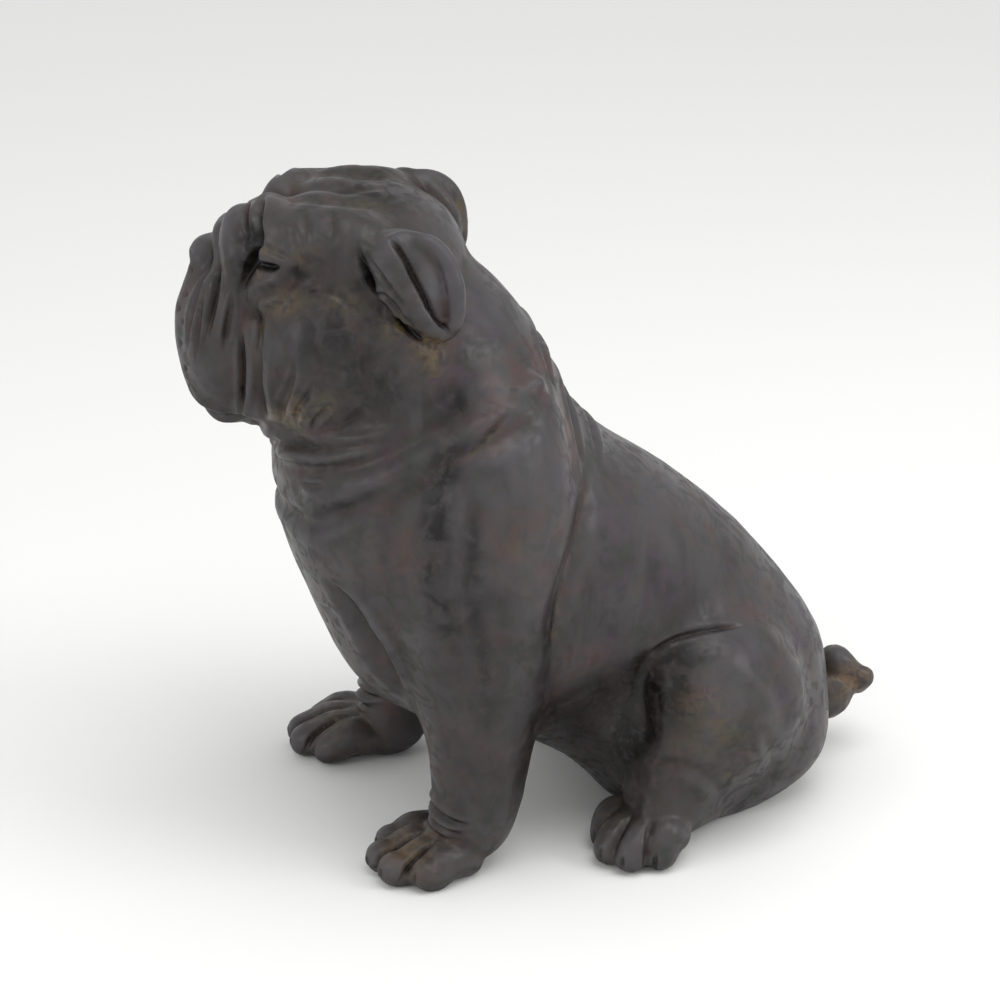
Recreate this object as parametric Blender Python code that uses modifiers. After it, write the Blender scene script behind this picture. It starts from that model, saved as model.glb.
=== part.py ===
# Seated bulldog statue, cast in one piece.
# The dog faces -Y, its left side is +X, and it stands on z = 0. Metres, +Z up.
# Places and sizes of the figure are hundredths of FIGURE_LENGTH, as (left, back, up).
# The head has its own frame, (left, forward, up), and turns about the neck.

import math

import bmesh
import bpy
import numpy as np
from mathutils import Euler, Matrix, Vector
from mathutils.bvhtree import BVHTree

# Driving dimensions
FIGURE_LENGTH = 0.380
HEAD_TURN = math.radians(-25.0)
SHARE = FIGURE_LENGTH / 100.0

# Clay steps: voxel size and smoothing passes of each stage, then the facets that are kept
BODY_VOXEL = 1.05 * SHARE
BODY_SMOOTHING = 30
HEAD_VOXEL = 0.92 * SHARE
HEAD_SMOOTHING = 14
FACE_VOXEL = 0.62 * SHARE
FACE_SMOOTHING = 6
DETAIL_VOXEL = 0.42 * SHARE
DETAIL_SMOOTHING = 3
FACET_COUNT = 9400
BODY_FACETS = 6000

# More facets are kept on the face, which lies over FACE_HEIGHT and in front of FACE_BACK, and on the
# paws, which lie under PAW_HEIGHT and in front of PAW_BACK. Beyond a margin the body has fewer.
FACE_HEIGHT = 59.0
FACE_BACK = -14.0
PAW_HEIGHT = 9.0
PAW_BACK = 16.0
MARGIN = 2.5

# Trunk from rump to nape: back line (y, z), belly line (y, z), half width
TRUNK_STATIONS = [
    ((36.0, -3.0), (16.0, -4.0), 11.0),
    ((42.0, 4.0), (12.0, -1.0), 17.5),
    ((44.6, 11.5), (7.0, 5.0), 20.0),
    ((44.2, 21.0), (1.9, 9.2), 20.0),
    ((38.7, 30.0), (-4.0, 12.5), 19.5),
    ((30.9, 39.4), (-11.0, 14.7), 20.0),
    ((21.2, 48.0), (-18.8, 17.9), 21.5),
    ((12.4, 54.2), (-25.2, 23.9), 22.8),
    ((5.8, 61.0), (-29.6, 34.4), 22.8),
    ((2.9, 68.5), (-33.3, 45.2), 20.5),
    ((-1.5, 75.7), (-33.5, 55.0), 17.5),
    ((-7.2, 82.0), (-29.0, 65.0), 14.0),
]
TRUNK_SIDES = 40
TRUNK_SQUARENESS = 2.15
ROWS_PER_STATION = 5

# Forelegs: how far out the leg stands, and how far the planted paw is set back
FORELEG_LEFT = (17.6, 0.0)
FORELEG_RIGHT = (18.0, -1.0)

# Paws: side, (x, y) of the knuckles, yaw outwards, reach, height, fan of the toes
PAWS = [
    (1, (15.9, -15.0), 13.0, 9.9, 3.3, 6.0),
    (-1, (19.6, -17.6), 8.0, 9.6, 4.1, 5.0),
    (1, (20.9, 11.6), 36.0, 6.6, 4.6, 6.0),
    (-1, (20.9, 11.6), 36.0, 6.6, 4.6, 6.0),
]
TOE_COUNT = 4
TOE_SPACING = 2.7

# Ears, in the head's frame: the front fold and the rim as left, forward, up and girth,
# and how far forward and up the right ear is set from the left one's place
EAR_FOLD = [
    (13.0, 3.0, 87.4, 1.4),
    (14.0, 1.3, 85.8, 1.8),
    (14.9, -0.6, 83.2, 2.0),
    (15.6, -2.8, 80.4, 1.9),
    (15.8, -4.9, 78.2, 1.6),
    (15.3, -6.6, 76.8, 1.0),
]
EAR_RIM = [
    (12.7, 1.1, 87.7, 0.9),
    (13.0, -1.8, 88.5, 1.0),
    (13.4, -4.6, 88.3, 1.1),
    (14.2, -6.8, 86.7, 1.1),
    (14.8, -8.0, 84.0, 1.1),
    (15.1, -8.3, 81.4, 1.1),
    (15.2, -8.1, 78.9, 1.1),
    (14.9, -7.2, 77.2, 1.1),
]
RIGHT_EAR = (4.3, 0.4)

NECK_AXIS = (0.0, -15.0)

# Carved lines: path, width, depth, height of the lips beside it. A depth below 0 is a raised fold.
# Each is carved on both sides. These are on the face, in the head's frame.
FACE_LINES = [
    # temple furrows
    ([(9.4, 14.0, 90.2), (10.9, 13.6, 89.4), (12.6, 12.9, 87.6), (13.3, 12.1, 85.2)], 0.8, 0.35, 0.15),
    ([(10.2, 11.4, 90.6), (12.0, 11.0, 89.6), (13.4, 10.4, 87.4), (13.7, 10.0, 84.6)], 0.8, 0.4, 0.15),
    ([(10.6, 8.2, 90.8), (12.4, 8.0, 89.8), (13.9, 7.8, 87.6), (14.4, 7.6, 84.4)], 0.8, 0.35, 0.12),
    # crease between the nose rolls and the brow, down past the eye
    ([(3.6, 18.3, 90.4), (6.6, 18.0, 90.0), (9.2, 17.7, 88.8), (10.7, 17.5, 87.0), (10.4, 18.3, 84.8),
      (9.8, 19.0, 82.6), (9.6, 19.8, 80.6), (9.8, 20.4, 78.6)], 0.7, 1.5, 0.2),
    # slit of the eye, upper lid and pouch below
    ([(9.2, 19.0, 83.7), (11.0, 17.9, 83.7), (12.3, 16.5, 83.8), (13.6, 14.2, 84.2)], 0.5, 1.3, 0.15),
    ([(10.4, 17.9, 86.6), (11.8, 16.8, 86.3), (13.0, 14.8, 85.9), (13.7, 12.6, 85.1)], 0.5, 0.3, 0.1),
    ([(9.8, 18.9, 78.0), (11.4, 17.6, 79.4), (12.9, 15.9, 80.8), (13.3, 13.6, 82.0)], 0.7, 0.6, 0.3),
    # front edge of the nose roll and its run down the muzzle, with a lesser line on each side
    ([(2.4, 22.9, 88.4), (4.6, 23.5, 86.8), (6.2, 23.8, 84.8), (7.2, 23.9, 82.4), (8.2, 23.9, 80.2),
      (9.2, 23.9, 77.8), (10.0, 24.4, 74.4), (10.0, 25.0, 71.6)], 0.6, 1.0, 0.2),
    ([(4.6, 26.2, 82.4), (6.2, 26.0, 80.0), (7.6, 26.0, 77.0), (8.4, 26.6, 73.4), (8.6, 27.0, 70.6)],
     0.6, 0.5, 0.2),
    ([(10.6, 21.6, 80.4), (11.4, 21.8, 77.4), (12.0, 22.2, 74.6), (12.0, 22.8, 71.4)], 0.5, 0.55, 0.2),
    # two upright grooves behind the flews
    ([(11.2, 20.6, 76.0), (11.9, 20.4, 72.6), (12.0, 20.4, 69.0), (11.0, 20.8, 64.6), (9.4, 21.2, 61.4)],
     0.5, 0.9, 0.2),
    ([(13.6, 17.8, 76.4), (14.0, 17.2, 72.6), (13.4, 17.4, 68.6), (12.2, 17.7, 64.0), (11.2, 18.0, 61.6)],
     0.7, 1.05, 0.2),
    # slack folds low on the cheek
    ([(17.1, 12.0, 74.8), (17.3, 12.1, 72.0), (16.8, 13.0, 69.0), (15.3, 14.4, 65.8), (13.4, 15.0, 62.4)],
     0.6, 0.6, 0.4),
    ([(17.9, 9.2, 71.8), (17.6, 10.4, 68.8), (16.4, 12.0, 66.2), (14.6, 12.9, 62.8)], 0.5, 0.5, 0.45),
    ([(17.9, 6.8, 68.4), (17.4, 8.4, 66.6), (16.4, 9.8, 64.8), (15.2, 10.6, 62.8)], 0.6, 0.35, 0.35),
    # cheekbone, from the eye back to the ear
    ([(13.3, 13.6, 82.8), (13.6, 11.6, 82.0), (14.2, 9.2, 81.7), (14.9, 6.9, 81.4), (15.4, 5.0, 80.4),
      (15.9, 3.2, 79.0), (16.4, 1.8, 77.0)], 0.6, 0.35, 0.15),
    # mouth, from the middle out under the flews
    ([(0.5, 29.2, 69.8), (1.7, 29.2, 68.0), (3.4, 28.6, 65.6), (6.0, 27.3, 63.2), (9.0, 23.0, 61.5),
      (11.0, 18.0, 61.5)], 0.6, 1.1, 0.2, 0.15),
    # nostril
    ([(1.9, 29.9, 80.2), (2.7, 29.6, 81.3), (3.8, 28.3, 81.3)], 0.75, 1.9, 0.15),
]
# Cracks before and behind the ear's front fold
EAR_LINES = [
    ([(12.8, 4.8, 88.0), (13.8, 3.6, 85.6), (14.4, 2.0, 82.4), (15.6, -0.4, 79.2), (16.4, -3.0, 77.0),
      (16.0, -5.6, 75.4)], 0.5, 1.5, 0.2),
    ([(13.4, 1.0, 89.2), (15.0, -1.2, 87.4), (16.2, -3.1, 84.5), (16.7, -4.9, 81.6), (16.4, -6.4, 79.0),
      (15.3, -7.6, 77.0)], 0.5, 1.6, 0.1, 0.2),
]
# Carved once, down the middle of the head: furrow of the forehead, and the groove under the nose
MIDDLE_LINES = [
    ([(0.0, 21.0, 87.5), (0.0, 18.0, 89.0), (0.0, 13.0, 90.8), (0.0, 7.0, 92.0), (0.0, 2.0, 92.5)],
     1.9, 1.2, 0.0),
    ([(0.0, 30.0, 80.5), (0.0, 29.8, 78.0), (0.0, 29.6, 74.0), (0.0, 29.0, 70.4)], 0.6, 1.0, 0.15, 0.2),
]
BODY_LINES = [
    # crease of the collar on the neck's side
    ([(20.6, -16.0, 61.6), (21.4, -13.4, 62.4), (21.2, -10.2, 63.4), (20.6, -6.6, 64.4), (19.4, -2.5, 65.0)],
     1.4, 0.5, 0.15),
    # back edge of the shoulder, and the slit above the elbow
    ([(11.5, 5.9, 58.0), (17.3, 3.7, 53.4), (21.0, 1.2, 48.2), (23.1, -1.3, 43.7), (23.5, -2.6, 38.3),
      (22.7, -2.7, 32.8), (21.9, -3.0, 28.0)], 1.6, 0.8, 0.1),
    ([(18.6, 2.6, 52.0), (22.2, -0.4, 46.0), (23.5, -1.9, 42.6), (23.6, -2.6, 39.1), (23.3, -2.7, 35.3),
      (22.5, -2.3, 31.6)], 0.5, 0.9, 0.35),
    # between chest and foreleg, and the edge of the leg beside it
    ([(9.0, -30.0, 43.0), (12.4, -27.3, 38.6), (13.4, -25.2, 34.6), (14.0, -22.6, 29.0), (13.4, -20.2, 22.0)],
     1.7, 1.3, 0.35),
    ([(13.0, -27.8, 41.6), (15.6, -26.0, 38.6), (16.9, -24.0, 35.0), (17.6, -22.0, 30.6),
      (17.2, -20.4, 25.0)], 1.3, -0.6, 0.0),
    # wrist
    ([(12.0, -16.6, 10.4), (14.6, -17.8, 10.2), (19.1, -17.5, 9.6), (21.6, -15.9, 9.0), (23.0, -13.0, 8.8)],
     0.6, 0.6, 0.4),
    # from the belly up over the thigh
    ([(22.6, 10.0, 13.0), (21.8, 9.6, 17.5), (21.0, 9.9, 21.5), (20.3, 10.6, 25.5), (20.2, 11.7, 28.5),
      (20.0, 13.7, 30.4), (19.9, 17.1, 31.5), (19.6, 21.5, 31.8), (18.5, 27.3, 30.9)], 1.0, 1.3, 0.35),
    # hock
    ([(26.0, 21.3, 15.6), (26.0, 25.1, 17.2), (25.2, 27.4, 15.5), (21.9, 29.8, 10.7), (18.2, 31.5, 4.5)],
     0.9, 0.6, 0.2),
]
# Lines that run right round from side to side, given from the middle out to the left
ROUND_LINES = [
    # lower and upper edge of the collar
    ([(3.0, -33.5, 49.4), (9.8, -31.6, 50.3), (14.0, -28.9, 52.7), (17.0, -26.0, 55.5), (19.2, -22.2, 58.6),
      (20.2, -18.4, 61.2)], 1.3, 0.7, 0.3),
    ([(2.8, -33.1, 59.3), (9.8, -30.4, 60.5), (14.3, -26.7, 62.1), (17.0, -21.7, 64.0), (17.6, -18.4, 65.8)],
     0.9, 0.9, 0.35),
    # three wrinkles over the withers
    ([(3.0, 2.0, 71.0), (7.0, 1.0, 70.0), (10.2, 1.0, 67.3), (13.2, 1.1, 64.9)], 1.0, 0.8, 0.25),
    ([(3.0, 5.6, 64.5), (7.0, 5.0, 63.0), (10.5, 4.8, 60.6), (13.9, 4.4, 57.7), (16.6, 3.8, 54.6)],
     1.0, 1.0, 0.25),
    ([(3.0, 9.6, 58.6), (7.0, 8.6, 57.8), (11.7, 7.4, 55.7), (14.2, 6.7, 54.0)], 0.8, 0.7, 0.25),
]
# Width, depth and lip of the grooves between the toes
TOE_GROOVE = (0.45, 0.8, 0.08)
# Soft swellings and hollows on both sides: place, size, height
SWELLINGS = [
    # hollow in front of the thigh, and the round of the thigh
    ((21.5, 6.5, 18.0), (4.0, 4.6, 8.0), -2.6),
    ((23.5, 18.0, 22.0), (5.0, 8.0, 8.0), 0.9),
]

SIDES = (1, -1)


def smooth_path(points, steps):
    """Catmull-Rom curve through the points, with the same number of steps in each span."""
    knots = np.array(points, float)
    knots = np.vstack([2 * knots[0] - knots[1], knots, 2 * knots[-1] - knots[-2]])
    path = []
    for before, start, end, after in zip(knots, knots[1:], knots[2:], knots[3:]):
        for t in np.arange(steps) / steps:
            bend = 2 * before - 5 * start + 4 * end - after
            twist = 3 * start - before - 3 * end + after
            path.append(0.5 * (2 * start + (end - before) * t + bend * t**2 + twist * t**3))
    path.append(knots[-2])
    return np.array(path)


def flipped(points):
    """The same points on the other side of the figure."""
    return [(-point[0], *point[1:]) for point in points]


def on_head(point):
    """Turns a place in the head's frame into the figure's."""
    left, forward, up = point
    x = NECK_AXIS[0] + math.cos(HEAD_TURN) * left + math.sin(HEAD_TURN) * forward
    y = NECK_AXIS[1] + math.sin(HEAD_TURN) * left - math.cos(HEAD_TURN) * forward
    return (x, y, up)


class Clay:
    """Balls and lofts that are pressed together into one lump."""

    def __init__(self, lump=None):
        self.mesh = bmesh.new()
        self.lump = lump
        self.balls = {}

    def ball_mesh(self, level):
        if level not in self.balls:
            source = bmesh.new()
            bmesh.ops.create_icosphere(source, subdivisions=level, radius=1.0)
            self.balls[level] = bpy.data.meshes.new("ball")
            source.to_mesh(self.balls[level])
            source.free()
        return self.balls[level]

    def ball(self, place, size, turn=(0.0, 0.0, 0.0), level=3, yaw=0.0):
        lean = Euler([math.radians(angle) for angle in turn]).to_matrix().to_4x4()
        stretch = Matrix.Diagonal(Vector([*(part * SHARE for part in size), 1.0]))
        shape = self.ball_mesh(level).copy()
        set_down = Matrix.Translation(Vector(place) * SHARE)
        shape.transform(set_down @ Matrix.Rotation(yaw, 4, "Z") @ lean @ stretch)
        self.mesh.from_mesh(shape)
        bpy.data.meshes.remove(shape)

    def limb(self, points, head=False):
        """A run of balls along a curve: x, y, z and one radius or three."""
        for row in smooth_path(points, 6):
            size = row[3:] if len(row) > 4 else (row[3],) * 3
            place = on_head(row[:3]) if head else row[:3]
            self.ball(place, size, level=2, yaw=HEAD_TURN if head else 0.0)

    def head_ball(self, place, size, turn=(0.0, 0.0, 0.0)):
        self.ball(on_head(place), size, turn, yaw=HEAD_TURN)

    def pair(self, place, size, turn=(0.0, 0.0, 0.0), head=False):
        """A ball on each side."""
        for side in SIDES:
            press = self.head_ball if head else self.ball
            press((side * place[0], *place[1:]), size, (turn[0], side * turn[1], side * turn[2]))

    def limb_pair(self, points, head=False):
        self.limb(points, head)
        self.limb(flipped(points), head)

    def press(self, voxel, smoothing):
        """Melts everything into one closed skin and smooths it."""
        if self.lump:
            self.mesh.from_mesh(self.lump.data)
        else:
            self.lump = bpy.data.objects.new("bulldog", bpy.data.meshes.new("bulldog"))
            collection.objects.link(self.lump)
        self.mesh.to_mesh(self.lump.data)
        self.mesh.free()
        for mesh in self.balls.values():
            bpy.data.meshes.remove(mesh)
        skin = self.lump.modifiers.new("Skin", "REMESH")
        skin.mode = "VOXEL"
        skin.voxel_size = voxel
        if smoothing:
            soften = self.lump.modifiers.new("Soften", "SMOOTH")
            soften.iterations = round(smoothing)
        bake(self.lump)
        return self.lump


def bake(item):
    """Applies an object's modifiers to its mesh."""
    evaluated = item.evaluated_get(bpy.context.evaluated_depsgraph_get())
    mesh = bpy.data.meshes.new_from_object(evaluated)
    old = item.data
    item.modifiers.clear()
    item.data = mesh
    bpy.data.meshes.remove(old)
    mesh.name = item.name


def add_trunk(clay):
    """Loft of superellipse rings, each slung between the back line and the belly line."""
    stations = [(*back, *belly, width) for back, belly, width in TRUNK_STATIONS]
    rows = smooth_path(stations, ROWS_PER_STATION)
    power = 2 / TRUNK_SQUARENESS
    rings = []
    for back_y, back_z, belly_y, belly_z, width in rows:
        centre = Vector((0.0, (back_y + belly_y) / 2, (back_z + belly_z) / 2))
        reach = Vector((0.0, (back_y - belly_y) / 2, (back_z - belly_z) / 2))
        ring = []
        for step in range(TRUNK_SIDES):
            angle = math.tau * step / TRUNK_SIDES
            along = math.copysign(abs(math.cos(angle)) ** power, math.cos(angle))
            across = math.copysign(abs(math.sin(angle)) ** power, math.sin(angle))
            place = centre + reach * along + Vector((width * across, 0, 0))
            ring.append(clay.mesh.verts.new(place * SHARE))
        rings.append(ring)
    for lower, upper in zip(rings, rings[1:]):
        for step in range(TRUNK_SIDES):
            after = (step + 1) % TRUNK_SIDES
            clay.mesh.faces.new((lower[step], lower[after], upper[after], upper[step]))
    clay.mesh.faces.new(rings[0][::-1])
    clay.mesh.faces.new(rings[-1])


def add_forelegs(clay):
    for side, (out, back) in zip(SIDES, (FORELEG_LEFT, FORELEG_RIGHT)):
        clay.limb([
            (side * 13.0, -7.0, 62.0, 9.0, 9.0, 9.0),
            (side * 16.8, -9.5, 54.0, 9.6, 11.5, 10.0),
            (side * 18.2, -11.0 + back, 45.0, 9.6, 11.8, 10.0),
            (side * (out + 0.4), -11.6 + back, 35.0, 9.0, 10.8, 9.0),
            (side * out, -11.2 + back, 26.0, 7.9, 9.3, 8.0),
            (side * out, -11.1 + back, 17.0, 6.8, 7.6, 7.0),
            (side * out, -11.4 + back, 11.0, 6.1, 7.0, 6.0),
            (side * out, -12.3 + back, 6.0, 5.8, 6.3, 5.6),
        ])
        clay.ball((side * (out - 1.2), -14.5 + back, 2.8), (5.0, 6.5, 3.6))


def add_haunches(clay):
    """Thigh, knee, the shank along the ground and the buttock."""
    clay.pair((16.5, 22.0, 19.0), (10.2, 13.5, 13.5), (15.0, 0.0, -8.0))
    clay.pair((17.5, 17.0, 14.5), (9.0, 9.0, 11.0), (0.0, 0.0, -25.0))
    clay.limb_pair([(12.5, 26.5, 5.2, 5.5), (15.5, 21.5, 5.6, 5.8), (19.5, 15.5, 5.6, 5.6),
                    (21.5, 12.5, 5.1, 5.2)])
    clay.pair((8.8, 31.0, 10.8), (10.5, 12.4, 12.0))


def add_skull(clay):
    """Skull, forehead, muzzle block, throat, cheeks, brows and the nape behind the ears."""
    clay.head_ball((0.0, 5.2, 81.6), (14.7, 12.4, 9.6))
    clay.head_ball((0.0, 11.6, 84.0), (12.5, 7.6, 7.6))
    clay.head_ball((0.0, 17.2, 72.8), (11.5, 11.0, 12.3))
    clay.head_ball((0.0, 21.6, 63.0), (8.5, 6.6, 4.8))
    clay.pair((5.5, 22.9, 71.3), (6.6, 7.0, 10.8), head=True)
    clay.pair((10.6, 8.5, 71.5), (7.8, 10.0, 12.0), head=True)
    clay.pair((10.5, -1.0, 70.0), (7.6, 8.0, 12.0), head=True)
    clay.limb_pair([(4.5, 15.6, 86.4, 3.6), (7.2, 14.4, 86.2, 4.4), (9.0, 10.6, 86.6, 4.8),
                    (10.0, 5.0, 86.2, 5.0)], head=True)


def add_face(clay):
    # heavy brows that hang over the eyes
    clay.limb_pair([(3.2, 17.8, 88.4, 2.7), (6.2, 17.1, 88.1, 3.2), (8.8, 15.2, 87.4, 3.4),
                    (10.4, 11.5, 86.9, 3.4)], head=True)
    # thick roll over the nose that runs down both sides of the muzzle, a little lower on the right
    roll = [(3.4, 21.6, 87.2, 2.2), (6.0, 21.2, 86.2, 2.8), (7.6, 20.9, 84.0, 2.9), (8.6, 20.9, 81.6, 2.3),
            (9.6, 21.4, 79.0, 1.7), (10.5, 22.4, 76.0, 1.4), (10.9, 23.4, 72.5, 1.2), (10.8, 24.6, 69.5, 0.9)]
    right_roll = [(-left, forward - 0.3, up - 1.7 * max(0.0, (up - 79) / 8.2), girth)
                  for left, forward, up, girth in roll]
    clay.limb([*right_roll[::-1], (0.0, 21.5, 85.4, 1.9), *roll], head=True)
    # a small roll before it and one behind it
    wrinkle = [(2.8, 24.7, 84.8, 1.3), (4.8, 24.4, 82.4, 1.2), (6.0, 24.4, 79.6, 0.9)]
    clay.limb([*flipped(wrinkle[::-1]), (0.0, 24.8, 85.2, 1.4), *wrinkle], head=True)
    clay.limb_pair([(3.6, 19.3, 89.0, 0.9), (6.6, 18.9, 88.7, 1.3), (8.8, 18.5, 87.4, 1.2),
                    (9.8, 18.4, 85.6, 0.8)], head=True)
    # folds behind the flews
    clay.limb_pair([(10.6, 19.2, 77.0, 0.9), (11.3, 19.0, 73.0, 1.1), (11.2, 19.2, 69.0, 1.2),
                    (10.8, 19.4, 64.5, 1.2)], head=True)
    clay.limb_pair([(12.6, 15.6, 77.0, 1.8), (13.6, 15.0, 73.0, 2.4), (13.5, 14.8, 69.0, 2.6),
                    (12.4, 15.0, 64.5, 2.2)], head=True)
    # nose pad with its wings
    clay.head_ball((0.0, 27.0, 81.4), (3.6, 2.7, 2.4))
    clay.pair((2.3, 27.4, 80.8), (1.9, 2.0, 2.2), head=True)
    clay.head_ball((0.0, 28.2, 80.0), (1.2, 1.4, 1.8))
    # flews, lip line and chin
    clay.limb_pair([(2.2, 27.7, 77.4, 2.4, 2.6, 3.0), (3.9, 27.4, 73.0, 3.9, 4.0, 4.5),
                    (5.2, 26.1, 67.0, 4.2, 4.1, 4.6), (6.0, 23.4, 63.1, 3.6, 3.8, 3.5)], head=True)
    clay.limb_pair([(6.0, 23.6, 65.0, 3.4), (8.4, 19.4, 64.5, 3.2), (10.0, 14.5, 64.0, 3.0)], head=True)
    clay.head_ball((0.0, 23.6, 61.8), (5.4, 4.4, 3.2))
    # eyes with both lids, and the pouch below
    clay.pair((9.8, 15.6, 83.6), (2.5, 2.5, 2.3), head=True)
    clay.limb_pair([(9.4, 18.3, 85.4, 0.8), (11.0, 17.3, 85.5, 1.1), (12.4, 15.3, 85.4, 1.0),
                    (13.3, 13.0, 84.8, 0.8)], head=True)
    clay.limb_pair([(9.2, 18.7, 82.2, 0.8), (10.9, 17.7, 81.7, 1.3), (12.2, 16.0, 82.1, 1.2),
                    (13.2, 13.8, 83.0, 0.8)], head=True)
    clay.limb_pair([(9.2, 19.4, 80.2, 1.2), (10.6, 18.2, 79.4, 1.8), (11.8, 16.6, 79.6, 1.9),
                    (12.6, 14.8, 80.6, 1.5)], head=True)


def add_collar(clay):
    """Two rolls of loose skin under the jaw."""
    low = [(3.0, -30.8, 54.4, 3.2), (9.5, -29.0, 54.8, 3.2), (14.6, -24.9, 56.8, 3.1),
           (17.2, -20.0, 59.5, 2.9), (18.4, -14.5, 62.8, 2.4), (18.0, -8.5, 66.0, 1.9),
           (15.6, -3.0, 68.5, 1.6)]
    high = [(5.8, -31.4, 59.4, 2.7), (12.3, -26.6, 61.3, 2.5), (15.3, -20.8, 64.0, 2.1),
            (16.7, -15.3, 67.5, 1.4)]
    clay.limb([*flipped(low[::-1]), *low])
    clay.limb([*flipped(high[::-1]), (0.0, -32.8, 59.6, 2.9), *high])


def add_ears(clay):
    """A folded flap on a thick root, with its front fold and its rim."""
    for side, (ahead, raised) in zip(SIDES, ((0.0, 0.0), RIGHT_EAR)):
        flap = (side * 13.8, ahead - 3.3, raised + 83.2)
        root = (side * 12.0, ahead + 0.2, raised + 86.0)
        clay.head_ball(flap, (2.3, 5.3, 7.2), (28.0, -14.0 * side, 20.0 * side))
        clay.head_ball(root, (3.0, 4.6, 3.4), (15.0, -10.0 * side, 10.0 * side))
        for edge in (EAR_FOLD, EAR_RIM):
            clay.limb([(side * left, forward + ahead, up + raised, girth)
                       for left, forward, up, girth in edge], head=True)


def toe_ray(paw, place):
    """Root, direction and length of the toe at a place counted from the paw's middle."""
    side, knuckles, yaw, reach, height, fan = paw
    heading = math.radians(yaw + place * fan)
    ahead = np.array((side * math.sin(heading), -math.cos(heading), 0.0))
    across = np.array((side * math.cos(math.radians(yaw)), math.sin(math.radians(yaw)), 0.0))
    root = np.array((side * knuckles[0], knuckles[1], 0.0)) + across * place * TOE_SPACING
    return root, ahead, reach - 1.5 * place**2


def add_paws(clay):
    """Toes side by side over a low pad, the middle ones longest."""
    for paw in PAWS:
        side, knuckles, yaw, reach, height, fan = paw
        root, ahead, length = toe_ray(paw, 0.0)
        pad = root + ahead * length * 0.3 + (0.0, 0.0, 2.6)
        clay.ball(pad, (5.4, reach * 0.62, height - 0.4), (0.0, 0.0, side * yaw))
        profile = [(0.0, height - 0.8, 2.9), (0.45, height - 0.3, 2.9), (0.8, height - 1.3, 2.7),
                   (1.0, 2.3, 2.4)]
        for toe in range(TOE_COUNT):
            root, ahead, length = toe_ray(paw, toe - (TOE_COUNT - 1) / 2)
            clay.limb([(*(root + ahead * length * part)[:2], up, girth) for part, up, girth in profile])


def carve_toes(carver):
    """A groove between each two toes, from the knuckles over the tip."""
    for paw in PAWS:
        height = paw[4]
        for gap in range(TOE_COUNT - 1):
            root, ahead, length = toe_ray(paw, gap + 1 - TOE_COUNT / 2)
            rises = ((0.2, height + 2.2), (0.6, height + 2.0), (0.95, height), (1.2, 1.6), (1.3, 0.2))
            path = [root + ahead * length * part + (0.0, 0.0, up) for part, up in rises]
            carver.line(path, *TOE_GROOVE)


def add_tail(clay):
    """Short screw tail that ends in a curl."""
    clay.limb([(0.0, 43.0, 8.8, 3.8), (1.0, 46.6, 8.8, 3.8), (-1.0, 48.4, 11.6, 3.3), (1.0, 49.0, 13.8, 2.3),
               (2.0, 51.3, 11.5, 2.2), (0.5, 52.0, 10.0, 1.2)])


class Carver:
    """Moves the lump's skin in and out along carved lines."""

    def __init__(self, lump):
        self.lump = lump
        count = len(lump.data.vertices)
        flat = np.empty(count * 3, np.float32)
        lump.data.vertices.foreach_get("co", flat)
        self.skin = flat.reshape(-1, 3).astype(float)
        lump.data.vertex_normals.foreach_get("vector", flat)
        self.out = flat.reshape(-1, 3).astype(float)
        faces = [tuple(face.vertices) for face in lump.data.polygons]
        self.tree = BVHTree.FromPolygons(self.skin.tolist(), faces)

    def line(self, points, width, depth, lip, taper=0.35):
        """A groove along a curve laid on the skin, with a raised lip on each side, tapering at both ends."""
        hits = [self.tree.find_nearest(Vector(point) * SHARE) for point in smooth_path(points, 8)]
        path = np.array([hit[0] for hit in hits])
        facing = np.array([hit[1] for hit in hits])
        margin = 3.4 * width * SHARE
        inside = np.all((self.skin > path.min(0) - margin) & (self.skin < path.max(0) + margin), axis=1)
        near = np.nonzero(inside)[0]
        skin = self.skin[near]
        gap = np.full(len(near), np.inf)
        run = np.zeros(len(near))
        normal = np.zeros((len(near), 3))
        lengths = np.linalg.norm(np.diff(path, axis=0), axis=1)
        starts = np.concatenate([[0.0], np.cumsum(lengths)])
        for step, length in enumerate(lengths):
            span = path[step + 1] - path[step]
            part = np.clip((skin - path[step]) @ span / max(length**2, 1e-12), 0.0, 1.0)
            away = np.linalg.norm(skin - path[step] - part[:, None] * span, axis=1)
            closer = away < gap
            gap[closer] = away[closer]
            run[closer] = (starts[step] + part[closer] * length) / starts[-1]
            normal[closer] = (1 - part[closer, None]) * facing[step] + part[closer, None] * facing[step + 1]
        fade = np.clip(run / taper, 0.0, 1.0) * np.clip((1.0 - run) / taper, 0.0, 1.0)
        fade = fade**2 * (3 - 2 * fade)
        across = gap / (width * SHARE * (0.5 + 0.5 * fade))
        profile = lip * np.exp(-(((across - 1.9) / 0.9) ** 2)) - depth * np.exp(-(across**2))
        same_side = np.clip(2 * np.einsum("ij,ij->i", normal, self.out[near]) + 0.4, 0.0, 1.0)
        way = 0.6 * normal + 0.4 * self.out[near]
        way /= np.maximum(np.linalg.norm(way, axis=1), 1e-9)[:, None]
        self.skin[near] += way * (profile * fade * same_side * SHARE)[:, None]

    def swell(self, place, size, height):
        """A soft bump, or a hollow where the height is negative."""
        apart = (((self.skin / SHARE - place) / size) ** 2).sum(axis=1)
        self.skin += self.out * (height * SHARE * np.exp(-apart))[:, None]

    def finish(self):
        self.lump.data.vertices.foreach_set("co", self.skin.astype(np.float32).ravel())
        self.lump.data.update()


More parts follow.
